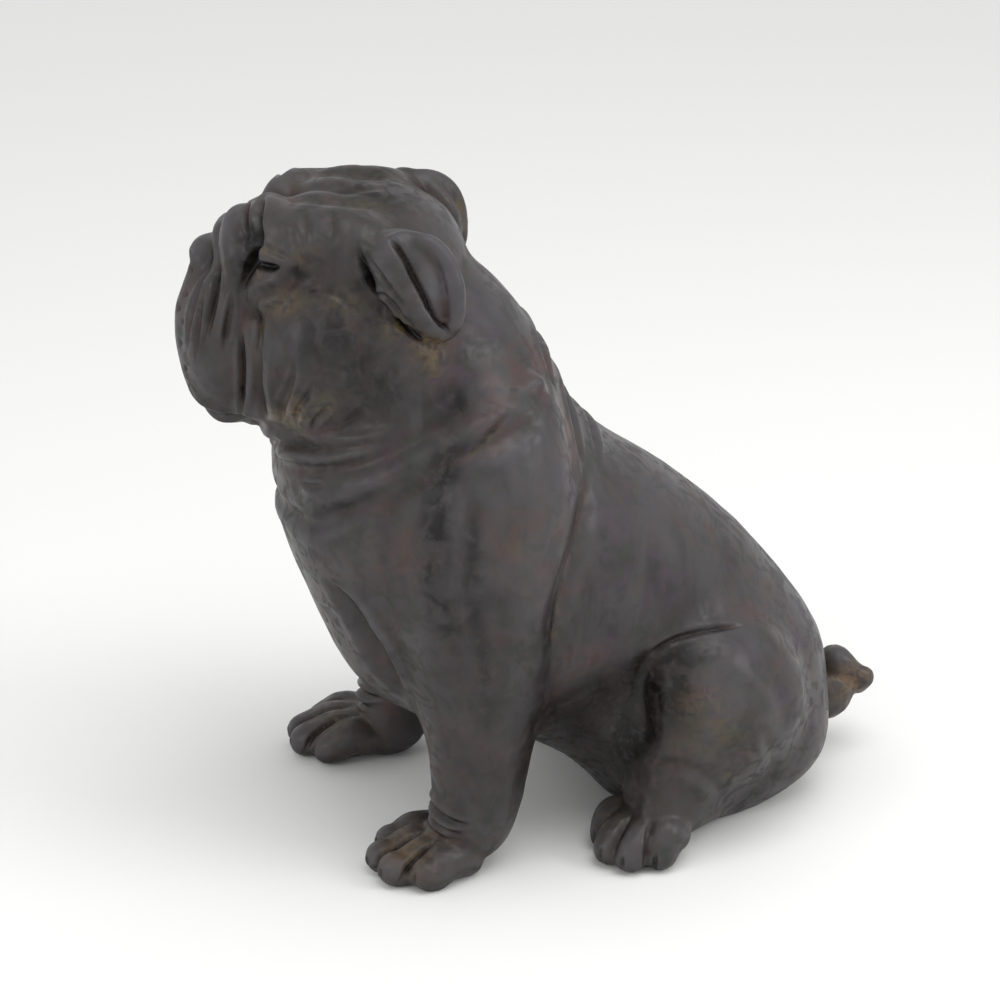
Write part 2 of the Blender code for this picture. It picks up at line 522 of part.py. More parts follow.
def carve(lump):
    carver = Carver(lump)
    for place, size, height in SWELLINGS:
        for side in SIDES:
            carver.swell((side * place[0], *place[1:]), size, height)
    for points, *cut in FACE_LINES:
        carver.line([on_head(point) for point in points], *cut)
        carver.line([on_head(point) for point in flipped(points)], *cut)
    ahead, raised = RIGHT_EAR
    for points, *cut in EAR_LINES:
        carver.line([on_head(point) for point in points], *cut)
        right = [(-left, forward + ahead, up + raised) for left, forward, up in points]
        carver.line([on_head(point) for point in right], *cut)
    for points, *cut in MIDDLE_LINES:
        carver.line([on_head(point) for point in points], *cut)
    for points, *cut in BODY_LINES:
        carver.line(points, *cut)
        carver.line(flipped(points), *cut)
    for points, *cut in ROUND_LINES:
        carver.line([*flipped(points[::-1]), *points], *cut)
    carve_toes(carver)
    carver.finish()


def thin_out(lump):
    """Thins the body's facets first and then all of them, so that face and paws keep more of them."""
    places = np.array([vert.co for vert in lump.data.vertices]) / SHARE
    off_face = np.maximum(FACE_HEIGHT - places[:, 2], places[:, 1] - FACE_BACK)
    off_paws = np.maximum(places[:, 2] - PAW_HEIGHT, places[:, 1] - PAW_BACK)
    shares = np.clip(np.minimum(off_face, off_paws) / MARGIN, 0.0, 1.0)
    body = lump.vertex_groups.new(name="Body")
    for index, part in enumerate(shares):
        body.add([index], float(part), "REPLACE")
    counts = (BODY_FACETS + 2 * int((1 - shares).sum()), FACET_COUNT)
    for group, count in zip(("Body", ""), counts):
        triangles = sum(len(facet.vertices) - 2 for facet in lump.data.polygons)
        facets = lump.modifiers.new("Facets", "DECIMATE")
        facets.ratio = count / triangles
        facets.vertex_group = group
        bake(lump)
    lump.vertex_groups.clear()


def keep_largest_shell(mesh):
    """Drops any closed bubble that the melting leaves inside the figure."""
    todo = set(mesh.verts)
    shells = []
    while todo:
        shell = set()
        edge = [todo.pop()]
        while edge:
            vert = edge.pop()
            shell.add(vert)
            for link in vert.link_edges:
                other = link.other_vert(vert)
                if other in todo:
                    todo.remove(other)
                    edge.append(other)
        shells.append(shell)
    shells.sort(key=len)
    for shell in shells[:-1]:
        bmesh.ops.delete(mesh, geom=list(shell), context="VERTS")


def stand_flat(lump):
    """Cuts the soles and the seat level, caps them, and sets the origin under the middle of the figure."""
    mesh = bmesh.new()
    mesh.from_mesh(lump.data)
    keep_largest_shell(mesh)
    cut = bmesh.ops.bisect_plane(mesh, geom=mesh.verts[:] + mesh.edges[:] + mesh.faces[:], dist=1e-7,
                                 plane_co=(0, 0, 0), plane_no=(0, 0, 1), clear_inner=True)
    rim = [item for item in cut["geom_cut"] if isinstance(item, bmesh.types.BMEdge)]
    bmesh.ops.holes_fill(mesh, edges=rim, sides=0)
    bmesh.ops.triangulate(mesh, faces=[face for face in mesh.faces if len(face.verts) > 3])
    bmesh.ops.recalc_face_normals(mesh, faces=mesh.faces)
    places = np.array([vert.co for vert in mesh.verts])
    middle = (places.min(axis=0) + places.max(axis=0)) / 2
    bmesh.ops.translate(mesh, verts=mesh.verts, vec=(-middle[0], -middle[1], 0.0))
    mesh.to_mesh(lump.data)
    mesh.free()


def cast_finish():
    """Dark grey-brown cast resin, waxed to a low sheen."""
    material = bpy.data.materials.new("Aged dark resin")
    material.use_nodes = True
    shader = material.node_tree.nodes["Principled BSDF"]
    shader.inputs["Base Color"].default_value = (0.070, 0.061, 0.056, 1.0)
    shader.inputs["Roughness"].default_value = 0.5
    shader.inputs["Metallic"].default_value = 0.0
    return material


def build_bulldog():
    body = Clay()
    add_trunk(body)
    add_forelegs(body)
    add_haunches(body)
    lump = body.press(BODY_VOXEL, BODY_SMOOTHING)

    head = Clay(lump)
    add_skull(head)
    head.press(HEAD_VOXEL, HEAD_SMOOTHING)

    face = Clay(lump)
    add_face(face)
    add_collar(face)
    face.press(FACE_VOXEL, FACE_SMOOTHING)

    detail = Clay(lump)
    add_paws(detail)
    add_tail(detail)
    add_ears(detail)
    detail.press(DETAIL_VOXEL, DETAIL_SMOOTHING)

    carve(lump)
    Clay(lump).press(DETAIL_VOXEL, 1)

    thin_out(lump)
    stand_flat(lump)
    lump.data.materials.append(cast_finish())
    lump.data.shade_smooth()
    return lump


for item in list(bpy.data.objects):
    bpy.data.objects.remove(item, do_unlink=True)
collection = bpy.data.collections.new("Bulldog statue")
bpy.context.scene.collection.children.link(collection)
bulldog = build_bulldog()
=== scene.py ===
# Seated bulldog statue in aged cast resin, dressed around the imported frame.
# The dog faces -Y and its left side is +X. Places on the figure are (left, back, up) in hundredths
# of its length, and places on the head are (left, forward, up) before the head is turned.

import math

import bmesh
import bpy
import numpy as np
from mathutils import Euler, Matrix, Vector, noise
from mathutils.bvhtree import BVHTree


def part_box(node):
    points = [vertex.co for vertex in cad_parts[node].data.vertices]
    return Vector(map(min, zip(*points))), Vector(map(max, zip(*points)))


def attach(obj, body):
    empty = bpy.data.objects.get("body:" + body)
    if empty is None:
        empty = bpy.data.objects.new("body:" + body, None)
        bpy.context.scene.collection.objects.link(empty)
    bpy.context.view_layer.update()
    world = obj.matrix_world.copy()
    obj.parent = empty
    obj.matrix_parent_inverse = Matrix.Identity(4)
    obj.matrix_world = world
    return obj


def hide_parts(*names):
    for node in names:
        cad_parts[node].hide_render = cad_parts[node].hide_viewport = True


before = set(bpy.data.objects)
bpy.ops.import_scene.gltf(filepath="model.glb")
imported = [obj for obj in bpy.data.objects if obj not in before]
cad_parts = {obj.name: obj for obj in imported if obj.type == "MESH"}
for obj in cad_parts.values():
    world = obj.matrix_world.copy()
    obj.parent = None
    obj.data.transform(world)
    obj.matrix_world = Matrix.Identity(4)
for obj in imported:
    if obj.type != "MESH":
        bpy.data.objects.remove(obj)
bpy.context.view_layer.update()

figure = {
    "lengthInShares": 98.905,   # muzzle to tail tip, in the figure's own hundredths
    "headTurn": -25.0,          # degrees, to the dog's right
    "neckAxis": (0.0, -15.0),   # left and back: the head turns round this point
    # clay steps: voxel size and smoothing passes of each
    "bodyVoxel": 1.05,
    "bodySmoothing": 30,
    "headVoxel": 0.92,
    "headSmoothing": 14,
    "faceVoxel": 0.62,
    "faceSmoothing": 6,
    "detailVoxel": 0.40,
    "detailSmoothing": 3,
    "skinVoxel": 0.285,         # about 1.1 mm
    "triangleCount": 197000,
}

low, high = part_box("bulldog")
share = (high.y - low.y) / figure["lengthInShares"]
headTurn = math.radians(figure["headTurn"])
sides = (1, -1)


def smoothPath(points, steps):
    # Catmull-Rom curve, the same number of steps in each span
    knots = np.array(points, float)
    knots = np.vstack([2 * knots[0] - knots[1], knots, 2 * knots[-1] - knots[-2]])
    path = []
    for before, start, end, after in zip(knots, knots[1:], knots[2:], knots[3:]):
        for t in np.arange(steps) / steps:
            bend = 2 * before - 5 * start + 4 * end - after
            twist = 3 * start - before - 3 * end + after
            path.append(0.5 * (2 * start + (end - before) * t + bend * t**2 + twist * t**3))
    path.append(knots[-2])
    return np.array(path)


def flipped(points):
    return [(-point[0], *point[1:]) for point in points]


def onHead(point):
    left, forward, up = point
    x = figure["neckAxis"][0] + math.cos(headTurn) * left + math.sin(headTurn) * forward
    y = figure["neckAxis"][1] + math.sin(headTurn) * left - math.cos(headTurn) * forward
    return (x, y, up)


def bake(item):
    evaluated = item.evaluated_get(bpy.context.evaluated_depsgraph_get())
    mesh = bpy.data.meshes.new_from_object(evaluated)
    old = item.data
    item.modifiers.clear()
    item.data = mesh
    bpy.data.meshes.remove(old)
    mesh.name = item.name


class Clay:
    # balls and lofts, pressed together into one lump

    def __init__(self, lump=None):
        self.mesh = bmesh.new()
        self.lump = lump
        self.balls = {}

    def ballMesh(self, level):
        if level not in self.balls:
            source = bmesh.new()
            bmesh.ops.create_icosphere(source, subdivisions=level, radius=1.0)
            self.balls[level] = bpy.data.meshes.new("ball")
            source.to_mesh(self.balls[level])
            source.free()
        return self.balls[level]

    def ball(self, place, size, turn=(0.0, 0.0, 0.0), level=3, yaw=0.0):
        lean = Euler([math.radians(angle) for angle in turn]).to_matrix().to_4x4()
        stretch = Matrix.Diagonal(Vector([*(part * share for part in size), 1.0]))
        setDown = Matrix.Translation(Vector(place) * share)
        shape = self.ballMesh(level).copy()
        shape.transform(setDown @ Matrix.Rotation(yaw, 4, "Z") @ lean @ stretch)
        self.mesh.from_mesh(shape)
        bpy.data.meshes.remove(shape)

    def limb(self, points, head=False):
        # a run of balls: x, y, z and one radius or three
        for row in smoothPath(points, 6):
            size = row[3:] if len(row) > 4 else (row[3],) * 3
            place = onHead(row[:3]) if head else row[:3]
            self.ball(place, size, level=2, yaw=headTurn if head else 0.0)

    def headBall(self, place, size, turn=(0.0, 0.0, 0.0)):
        self.ball(onHead(place), size, turn, yaw=headTurn)

    def pair(self, place, size, turn=(0.0, 0.0, 0.0), head=False):
        for side in sides:
            press = self.headBall if head else self.ball
            press((side * place[0], *place[1:]), size, (turn[0], side * turn[1], side * turn[2]))

    def limbPair(self, points, head=False):
        self.limb(points, head)
        self.limb(flipped(points), head)

    def press(self, voxel, smoothing):
        if self.lump:
            self.mesh.from_mesh(self.lump.data)
        else:
            self.lump = bpy.data.objects.new("bulldogCast", bpy.data.meshes.new("bulldogCast"))
            bpy.context.scene.collection.objects.link(self.lump)
        self.mesh.to_mesh(self.lump.data)
        self.mesh.free()
        for mesh in self.balls.values():
            bpy.data.meshes.remove(mesh)
        skin = self.lump.modifiers.new("Skin", "REMESH")
        skin.mode = "VOXEL"
        skin.voxel_size = voxel * share
        if smoothing:
            soften = self.lump.modifiers.new("Soften", "SMOOTH")
            soften.iterations = smoothing
        bake(self.lump)
        return self.lump


# Trunk: back line (y, z), belly line (y, z) and half width of each station, rump to nape
trunk = {
    "stations": [
        ((36.0, -3.0), (16.0, -4.0), 11.0),
        ((42.0, 4.0), (12.0, -1.0), 17.5),
        ((44.6, 11.5), (7.0, 5.0), 20.0),
        ((44.2, 21.0), (1.9, 9.2), 20.0),
        ((38.7, 30.0), (-4.0, 12.5), 19.5),
        ((30.9, 39.4), (-11.0, 14.7), 20.0),
        ((21.2, 48.0), (-18.8, 17.9), 21.5),
        ((12.4, 54.2), (-25.2, 23.9), 22.8),
        ((5.8, 61.0), (-29.6, 34.4), 22.8),
        ((2.9, 68.5), (-33.3, 45.2), 20.5),
        ((-1.5, 75.7), (-33.5, 55.0), 17.5),
        ((-7.2, 82.0), (-29.0, 65.0), 14.0),
    ],
    "ringSides": 40,
    "squareness": 2.15,
    "rowsPerStation": 5,
}


def addTrunk(clay):
    stations = [(*back, *belly, width) for back, belly, width in trunk["stations"]]
    power = 2 / trunk["squareness"]
    count = trunk["ringSides"]
    rings = []
    for backY, backZ, bellyY, bellyZ, width in smoothPath(stations, trunk["rowsPerStation"]):
        centre = Vector((0.0, (backY + bellyY) / 2, (backZ + bellyZ) / 2))
        reach = Vector((0.0, (backY - bellyY) / 2, (backZ - bellyZ) / 2))
        ring = []
        for step in range(count):
            angle = math.tau * step / count
            along = math.copysign(abs(math.cos(angle)) ** power, math.cos(angle))
            across = math.copysign(abs(math.sin(angle)) ** power, math.sin(angle))
            place = centre + reach * along + Vector((width * across, 0, 0))
            ring.append(clay.mesh.verts.new(place * share))
        rings.append(ring)
    for lower, upper in zip(rings, rings[1:]):
        for step in range(count):
            after = (step + 1) % count
            clay.mesh.faces.new((lower[step], lower[after], upper[after], upper[step]))
    clay.mesh.faces.new(rings[0][::-1])
    clay.mesh.faces.new(rings[-1])


legs = {
    "left": (17.6, 0.0),        # how far out the foreleg stands, how far its foot is set back
    "right": (18.0, -1.0),
}


def addLegs(clay):
    for side, name in zip(sides, ("left", "right")):
        out, back = legs[name]
        clay.limb([
            (side * 13.0, -7.0, 62.0, 9.0, 9.0, 9.0),
            (side * 16.8, -9.5, 54.0, 9.6, 11.5, 10.0),
            (side * 18.2, -11.0 + back, 45.0, 9.6, 11.8, 10.0),
            (side * (out + 0.4), -11.6 + back, 35.0, 9.0, 10.8, 9.0),
            (side * out, -11.2 + back, 26.0, 7.9, 9.3, 8.0),
            (side * out, -11.1 + back, 17.0, 6.8, 7.6, 7.0),
            (side * out, -11.4 + back, 11.0, 6.1, 7.0, 6.0),
            (side * out, -12.3 + back, 6.0, 5.8, 6.3, 5.6),
        ])
        clay.ball((side * (out - 1.2), -14.5 + back, 2.8), (5.0, 6.5, 3.6))
    # thigh, knee, shank along the ground, buttock
    clay.pair((16.5, 22.0, 19.0), (10.2, 13.5, 13.5), (15.0, 0.0, -8.0))
    clay.pair((17.5, 17.0, 14.5), (9.0, 9.0, 11.0), (0.0, 0.0, -25.0))
    clay.limbPair([(12.5, 26.5, 5.2, 5.5), (15.5, 21.5, 5.6, 5.8), (19.5, 15.5, 5.6, 5.6),
                   (21.5, 12.5, 5.1, 5.2)])
    clay.pair((8.8, 31.0, 10.8), (10.5, 12.4, 12.0))


def addSkull(clay):
    clay.headBall((0.0, 5.2, 81.6), (14.7, 12.4, 9.6))
    clay.headBall((0.0, 11.6, 84.0), (12.5, 7.6, 7.6))
    clay.headBall((0.0, 17.2, 72.8), (11.5, 11.0, 12.3))
    clay.headBall((0.0, 21.6, 63.0), (8.5, 6.6, 4.8))
    clay.pair((5.5, 22.9, 71.3), (6.6, 7.0, 10.8), head=True)
    clay.pair((10.6, 8.5, 71.5), (7.8, 10.0, 12.0), head=True)
    clay.pair((10.5, -1.0, 70.0), (7.6, 8.0, 12.0), head=True)
    clay.limbPair([(4.5, 15.6, 86.4, 3.6), (7.2, 14.4, 86.2, 4.4), (9.0, 10.6, 86.6, 4.8),
                   (10.0, 5.0, 86.2, 5.0)], head=True)


def addFace(clay):
    # heavy brows that hang over the eyes
    clay.limbPair([(3.2, 17.8, 88.4, 2.7), (6.2, 17.1, 88.1, 3.2), (8.8, 15.2, 87.4, 3.4),
                   (10.4, 11.5, 86.9, 3.4)], head=True)
    # thick roll over the nose that runs down both sides of the muzzle, with a small one on each side of it
    roll = [(3.4, 21.6, 87.2, 2.2), (6.0, 21.2, 86.2, 2.8), (7.6, 20.9, 84.0, 2.9), (8.6, 20.9, 81.6, 2.3),
            (9.6, 21.4, 79.0, 1.7), (10.5, 22.4, 76.0, 1.4), (10.9, 23.4, 72.5, 1.2), (10.8, 24.6, 69.5, 0.9)]
    rightRoll = [(-left, forward - 0.3, up - 1.7 * max(0.0, (up - 79) / 8.2), girth)
                 for left, forward, up, girth in roll]
    clay.limb([*rightRoll[::-1], (0.0, 21.5, 85.4, 1.9), *roll], head=True)
    wrinkle = [(2.8, 24.7, 84.8, 1.3), (4.8, 24.4, 82.4, 1.2), (6.0, 24.4, 79.6, 0.9)]
    clay.limb([*flipped(wrinkle[::-1]), (0.0, 24.8, 85.2, 1.4), *wrinkle], head=True)
    clay.limbPair([(3.6, 19.3, 89.0, 0.9), (6.6, 18.9, 88.7, 1.3), (8.8, 18.5, 87.4, 1.2), (9.8, 18.4, 85.6, 0.8)],
                  head=True)
    # folds behind the flews
    clay.limbPair([(10.6, 19.2, 77.0, 0.9), (11.3, 19.0, 73.0, 1.1), (11.2, 19.2, 69.0, 1.2),
                   (10.8, 19.4, 64.5, 1.2)], head=True)
    clay.limbPair([(12.6, 15.6, 77.0, 1.8), (13.6, 15.0, 73.0, 2.4), (13.5, 14.8, 69.0, 2.6),
                   (12.4, 15.0, 64.5, 2.2)], head=True)
    # nose pad with its wings
    clay.headBall((0.0, 27.0, 81.4), (3.6, 2.7, 2.4))
    clay.pair((2.3, 27.4, 80.8), (1.9, 2.0, 2.2), head=True)
    clay.headBall((0.0, 28.2, 80.0), (1.2, 1.4, 1.8))
    # flews, lip line and chin
    clay.limbPair([(2.2, 27.7, 77.4, 2.4, 2.6, 3.0), (3.9, 27.4, 73.0, 3.9, 4.0, 4.5),
                   (5.2, 26.1, 67.0, 4.2, 4.1, 4.6), (6.0, 23.4, 63.1, 3.6, 3.8, 3.5)], head=True)
    clay.limbPair([(6.0, 23.6, 65.0, 3.4), (8.4, 19.4, 64.5, 3.2), (10.0, 14.5, 64.0, 3.0)], head=True)
    clay.headBall((0.0, 23.6, 61.8), (5.4, 4.4, 3.2))
    # eyes with both lids
    clay.pair((9.8, 15.6, 83.6), (2.5, 2.5, 2.3), head=True)
    clay.limbPair([(9.4, 18.3, 85.4, 0.8), (11.0, 17.3, 85.5, 1.1), (12.4, 15.3, 85.4, 1.0),
                   (13.3, 13.0, 84.8, 0.8)], head=True)
    clay.limbPair([(9.2, 18.7, 82.2, 0.8), (10.9, 17.7, 81.7, 1.3), (12.2, 16.0, 82.1, 1.2),
                   (13.2, 13.8, 83.0, 0.8)], head=True)
    clay.limbPair([(9.2, 19.4, 80.2, 1.2), (10.6, 18.2, 79.4, 1.8), (11.8, 16.6, 79.6, 1.9),
                   (12.6, 14.8, 80.6, 1.5)], head=True)


def addCollar(clay):
    # two rolls of loose skin under the jaw
    lowRoll = [(3.0, -30.8, 54.4, 3.2), (9.5, -29.0, 54.8, 3.2), (14.6, -24.9, 56.8, 3.1),
               (17.2, -20.0, 59.5, 2.9), (18.4, -14.5, 62.8, 2.4), (18.0, -8.5, 66.0, 1.9),
               (15.6, -3.0, 68.5, 1.6)]
    highRoll = [(5.8, -31.4, 59.4, 2.7), (12.3, -26.6, 61.3, 2.5), (15.3, -20.8, 64.0, 2.1),
                (16.7, -15.3, 67.5, 1.4)]
    clay.limb([*flipped(lowRoll[::-1]), *lowRoll])
    clay.limb([*flipped(highRoll[::-1]), (0.0, -32.8, 59.6, 2.9), *highRoll])


ears = {
    "rightEar": (4.3, 0.4),     # further forward and higher than the left one
    "strip": [(13.0, 3.0, 87.4, 1.4), (14.0, 1.3, 85.8, 1.8), (14.9, -0.6, 83.2, 2.0), (15.6, -2.8, 80.4, 1.9),
              (15.8, -4.9, 78.2, 1.6), (15.3, -6.6, 76.8, 1.0)],
    "rim": [(12.7, 1.1, 87.7, 0.9), (13.0, -1.8, 88.5, 1.0), (13.4, -4.6, 88.3, 1.1), (14.2, -6.8, 86.7, 1.1),
            (14.8, -8.0, 84.0, 1.1), (15.1, -8.3, 81.4, 1.1), (15.2, -8.1, 78.9, 1.1), (14.9, -7.2, 77.2, 1.1)],
}


def addEars(clay):
    for side, (ahead, raised) in zip(sides, ((0.0, 0.0), ears["rightEar"])):
        flap = (side * 13.8, ahead - 3.3, raised + 83.2)
        root = (side * 12.0, ahead + 0.2, raised + 86.0)
        clay.headBall(flap, (2.3, 5.3, 7.2), (28.0, -14.0 * side, 20.0 * side))
        clay.headBall(root, (3.0, 4.6, 3.4), (15.0, -10.0 * side, 10.0 * side))
        for fold in ("strip", "rim"):
            clay.limb([(side * left, forward + ahead, up + raised, girth)
                       for left, forward, up, girth in ears[fold]], head=True)


# side, knuckles (x, y), yaw outwards, reach, height, fan of the toes
paws = {
    "feet": [
        (1, (15.9, -15.0), 13.0, 9.9, 3.3, 6.0),
        (-1, (19.6, -17.6), 8.0, 9.6, 4.1, 5.0),
        (1, (20.9, 11.6), 36.0, 6.6, 4.6, 6.0),
        (-1, (20.9, 11.6), 36.0, 6.6, 4.6, 6.0),
    ],
    "toeCount": 4,
    "toeSpacing": 2.7,
}


def toeRay(paw, place):
    side, knuckles, yaw, reach, height, fan = paw
    heading = math.radians(yaw + place * fan)
    ahead = np.array((side * math.sin(heading), -math.cos(heading), 0.0))
    across = np.array((side * math.cos(math.radians(yaw)), math.sin(math.radians(yaw)), 0.0))
    root = np.array((side * knuckles[0], knuckles[1], 0.0)) + across * place * paws["toeSpacing"]
    return root, ahead, reach - 1.5 * place**2


def addPaws(clay):
    for paw in paws["feet"]:
        side, knuckles, yaw, reach, height, fan = paw
        root, ahead, length = toeRay(paw, 0.0)
        pad = root + ahead * length * 0.3 + (0.0, 0.0, 2.6)
        clay.ball(pad, (5.4, reach * 0.62, height - 0.4), (0.0, 0.0, side * yaw))
        profile = [(0.0, height - 0.8, 2.9), (0.45, height - 0.3, 2.9), (0.8, height - 1.3, 2.7),
                   (1.0, 2.3, 2.4)]
        for toe in range(paws["toeCount"]):
            root, ahead, length = toeRay(paw, toe - (paws["toeCount"] - 1) / 2)
            clay.limb([(*(root + ahead * length * part)[:2], up, girth) for part, up, girth in profile])


def addTail(clay):
    clay.limb([(0.0, 43.0, 8.8, 3.8), (1.0, 46.6, 8.8, 3.8), (-1.0, 48.4, 11.6, 3.3), (0.8, 48.2, 13.9, 2.3),
               (2.0, 50.6, 12.2, 1.5), (2.2, 51.9, 11.4, 1.6), (0.8, 51.6, 9.4, 1.4)])


class Carver:
    # moves the lump's skin in and out along carved lines

    def __init__(self, lump):
        self.lump = lump
        count = len(lump.data.vertices)
        flat = np.empty(count * 3, np.float32)
        lump.data.vertices.foreach_get("co", flat)
        self.skin = flat.reshape(-1, 3).astype(float)
        lump.data.vertex_normals.foreach_get("vector", flat)
        self.out = flat.reshape(-1, 3).astype(float)
        faces = [tuple(face.vertices) for face in lump.data.polygons]
        self.tree = BVHTree.FromPolygons(self.skin.tolist(), faces)

    def line(self, points, width, depth, lip=0.0, step=0.0, taper=0.35):
        # a groove along a curve laid on the skin, a lip on each side, both ends fading;
        # step lifts the skin on the left of the way the line runs and drops it on the right
        hits = [self.tree.find_nearest(Vector(point) * share) for point in smoothPath(points, 8)]
        path = np.array([hit[0] for hit in hits])
        facing = np.array([hit[1] for hit in hits])
        margin = 3.4 * width * share
        inside = np.all((self.skin > path.min(0) - margin) & (self.skin < path.max(0) + margin), axis=1)
        near = np.nonzero(inside)[0]
        skin = self.skin[near]
        gap = np.full(len(near), np.inf)
        run = np.zeros(len(near))
        hand = np.zeros(len(near))
        normal = np.zeros((len(near), 3))
        lengths = np.linalg.norm(np.diff(path, axis=0), axis=1)
        starts = np.concatenate([[0.0], np.cumsum(lengths)])
        for index, length in enumerate(lengths):
            span = path[index + 1] - path[index]
            part = np.clip((skin - path[index]) @ span / max(length**2, 1e-12), 0.0, 1.0)
            offset = skin - path[index] - part[:, None] * span
            away = np.linalg.norm(offset, axis=1)
            closer = away < gap
            gap[closer] = away[closer]
            run[closer] = (starts[index] + part[closer] * length) / starts[-1]
            hand[closer] = np.sign(offset[closer] @ np.cross(facing[index], span))
            normal[closer] = (1 - part[closer, None]) * facing[index] + part[closer, None] * facing[index + 1]
        fade = np.clip(run / taper, 0.0, 1.0) * np.clip((1.0 - run) / taper, 0.0, 1.0)
        fade = fade**2 * (3 - 2 * fade)
        across = gap / (width * share * (0.5 + 0.5 * fade))
        profile = lip * np.exp(-(((across - 1.9) / 0.9) ** 2)) - depth * np.exp(-(across**2))
        profile += step * hand * np.tanh(across / 0.35) * np.exp(-((across / 2) ** 2))
        sameSide = np.clip(2 * np.einsum("ij,ij->i", normal, self.out[near]) + 0.4, 0.0, 1.0)
        way = 0.6 * normal + 0.4 * self.out[near]
        way /= np.maximum(np.linalg.norm(way, axis=1), 1e-9)[:, None]
        self.skin[near] += way * (profile * fade * sameSide * share)[:, None]

    def swell(self, place, size, height):
        apart = (((self.skin / share - place) / size) ** 2).sum(axis=1)
        self.skin += self.out * (height * share * np.exp(-apart))[:, None]

    def roughen(self):
        skin = self.skin / share
        height = sum(size * lumpy(skin, millimetres) for millimetres, size in relief["lumps"])
        rough = np.zeros(len(skin))
        for grid, place, size, strength in relief["rough"]:
            for side in sides:
                rough = np.maximum(rough, strength * nearPlace(skin, grid, (side * place[0], *place[1:]), size))
        spots = np.nonzero(rough > 0.01)[0]
        height[spots] += rough[spots] * 2 * lumpy(skin[spots], relief["roughMm"])
        self.skin += self.out * (height * share)[:, None]

    def pit(self, place):
        radius, depth = carving["pit"]
        nearest = self.tree.find_nearest(Vector(place) * share)[0]
        self.swell(np.array(nearest) / share, (radius,) * 3, -depth)

    def finish(self):
        self.lump.data.vertices.foreach_set("co", self.skin.astype(np.float32).ravel())
        self.lump.data.update()


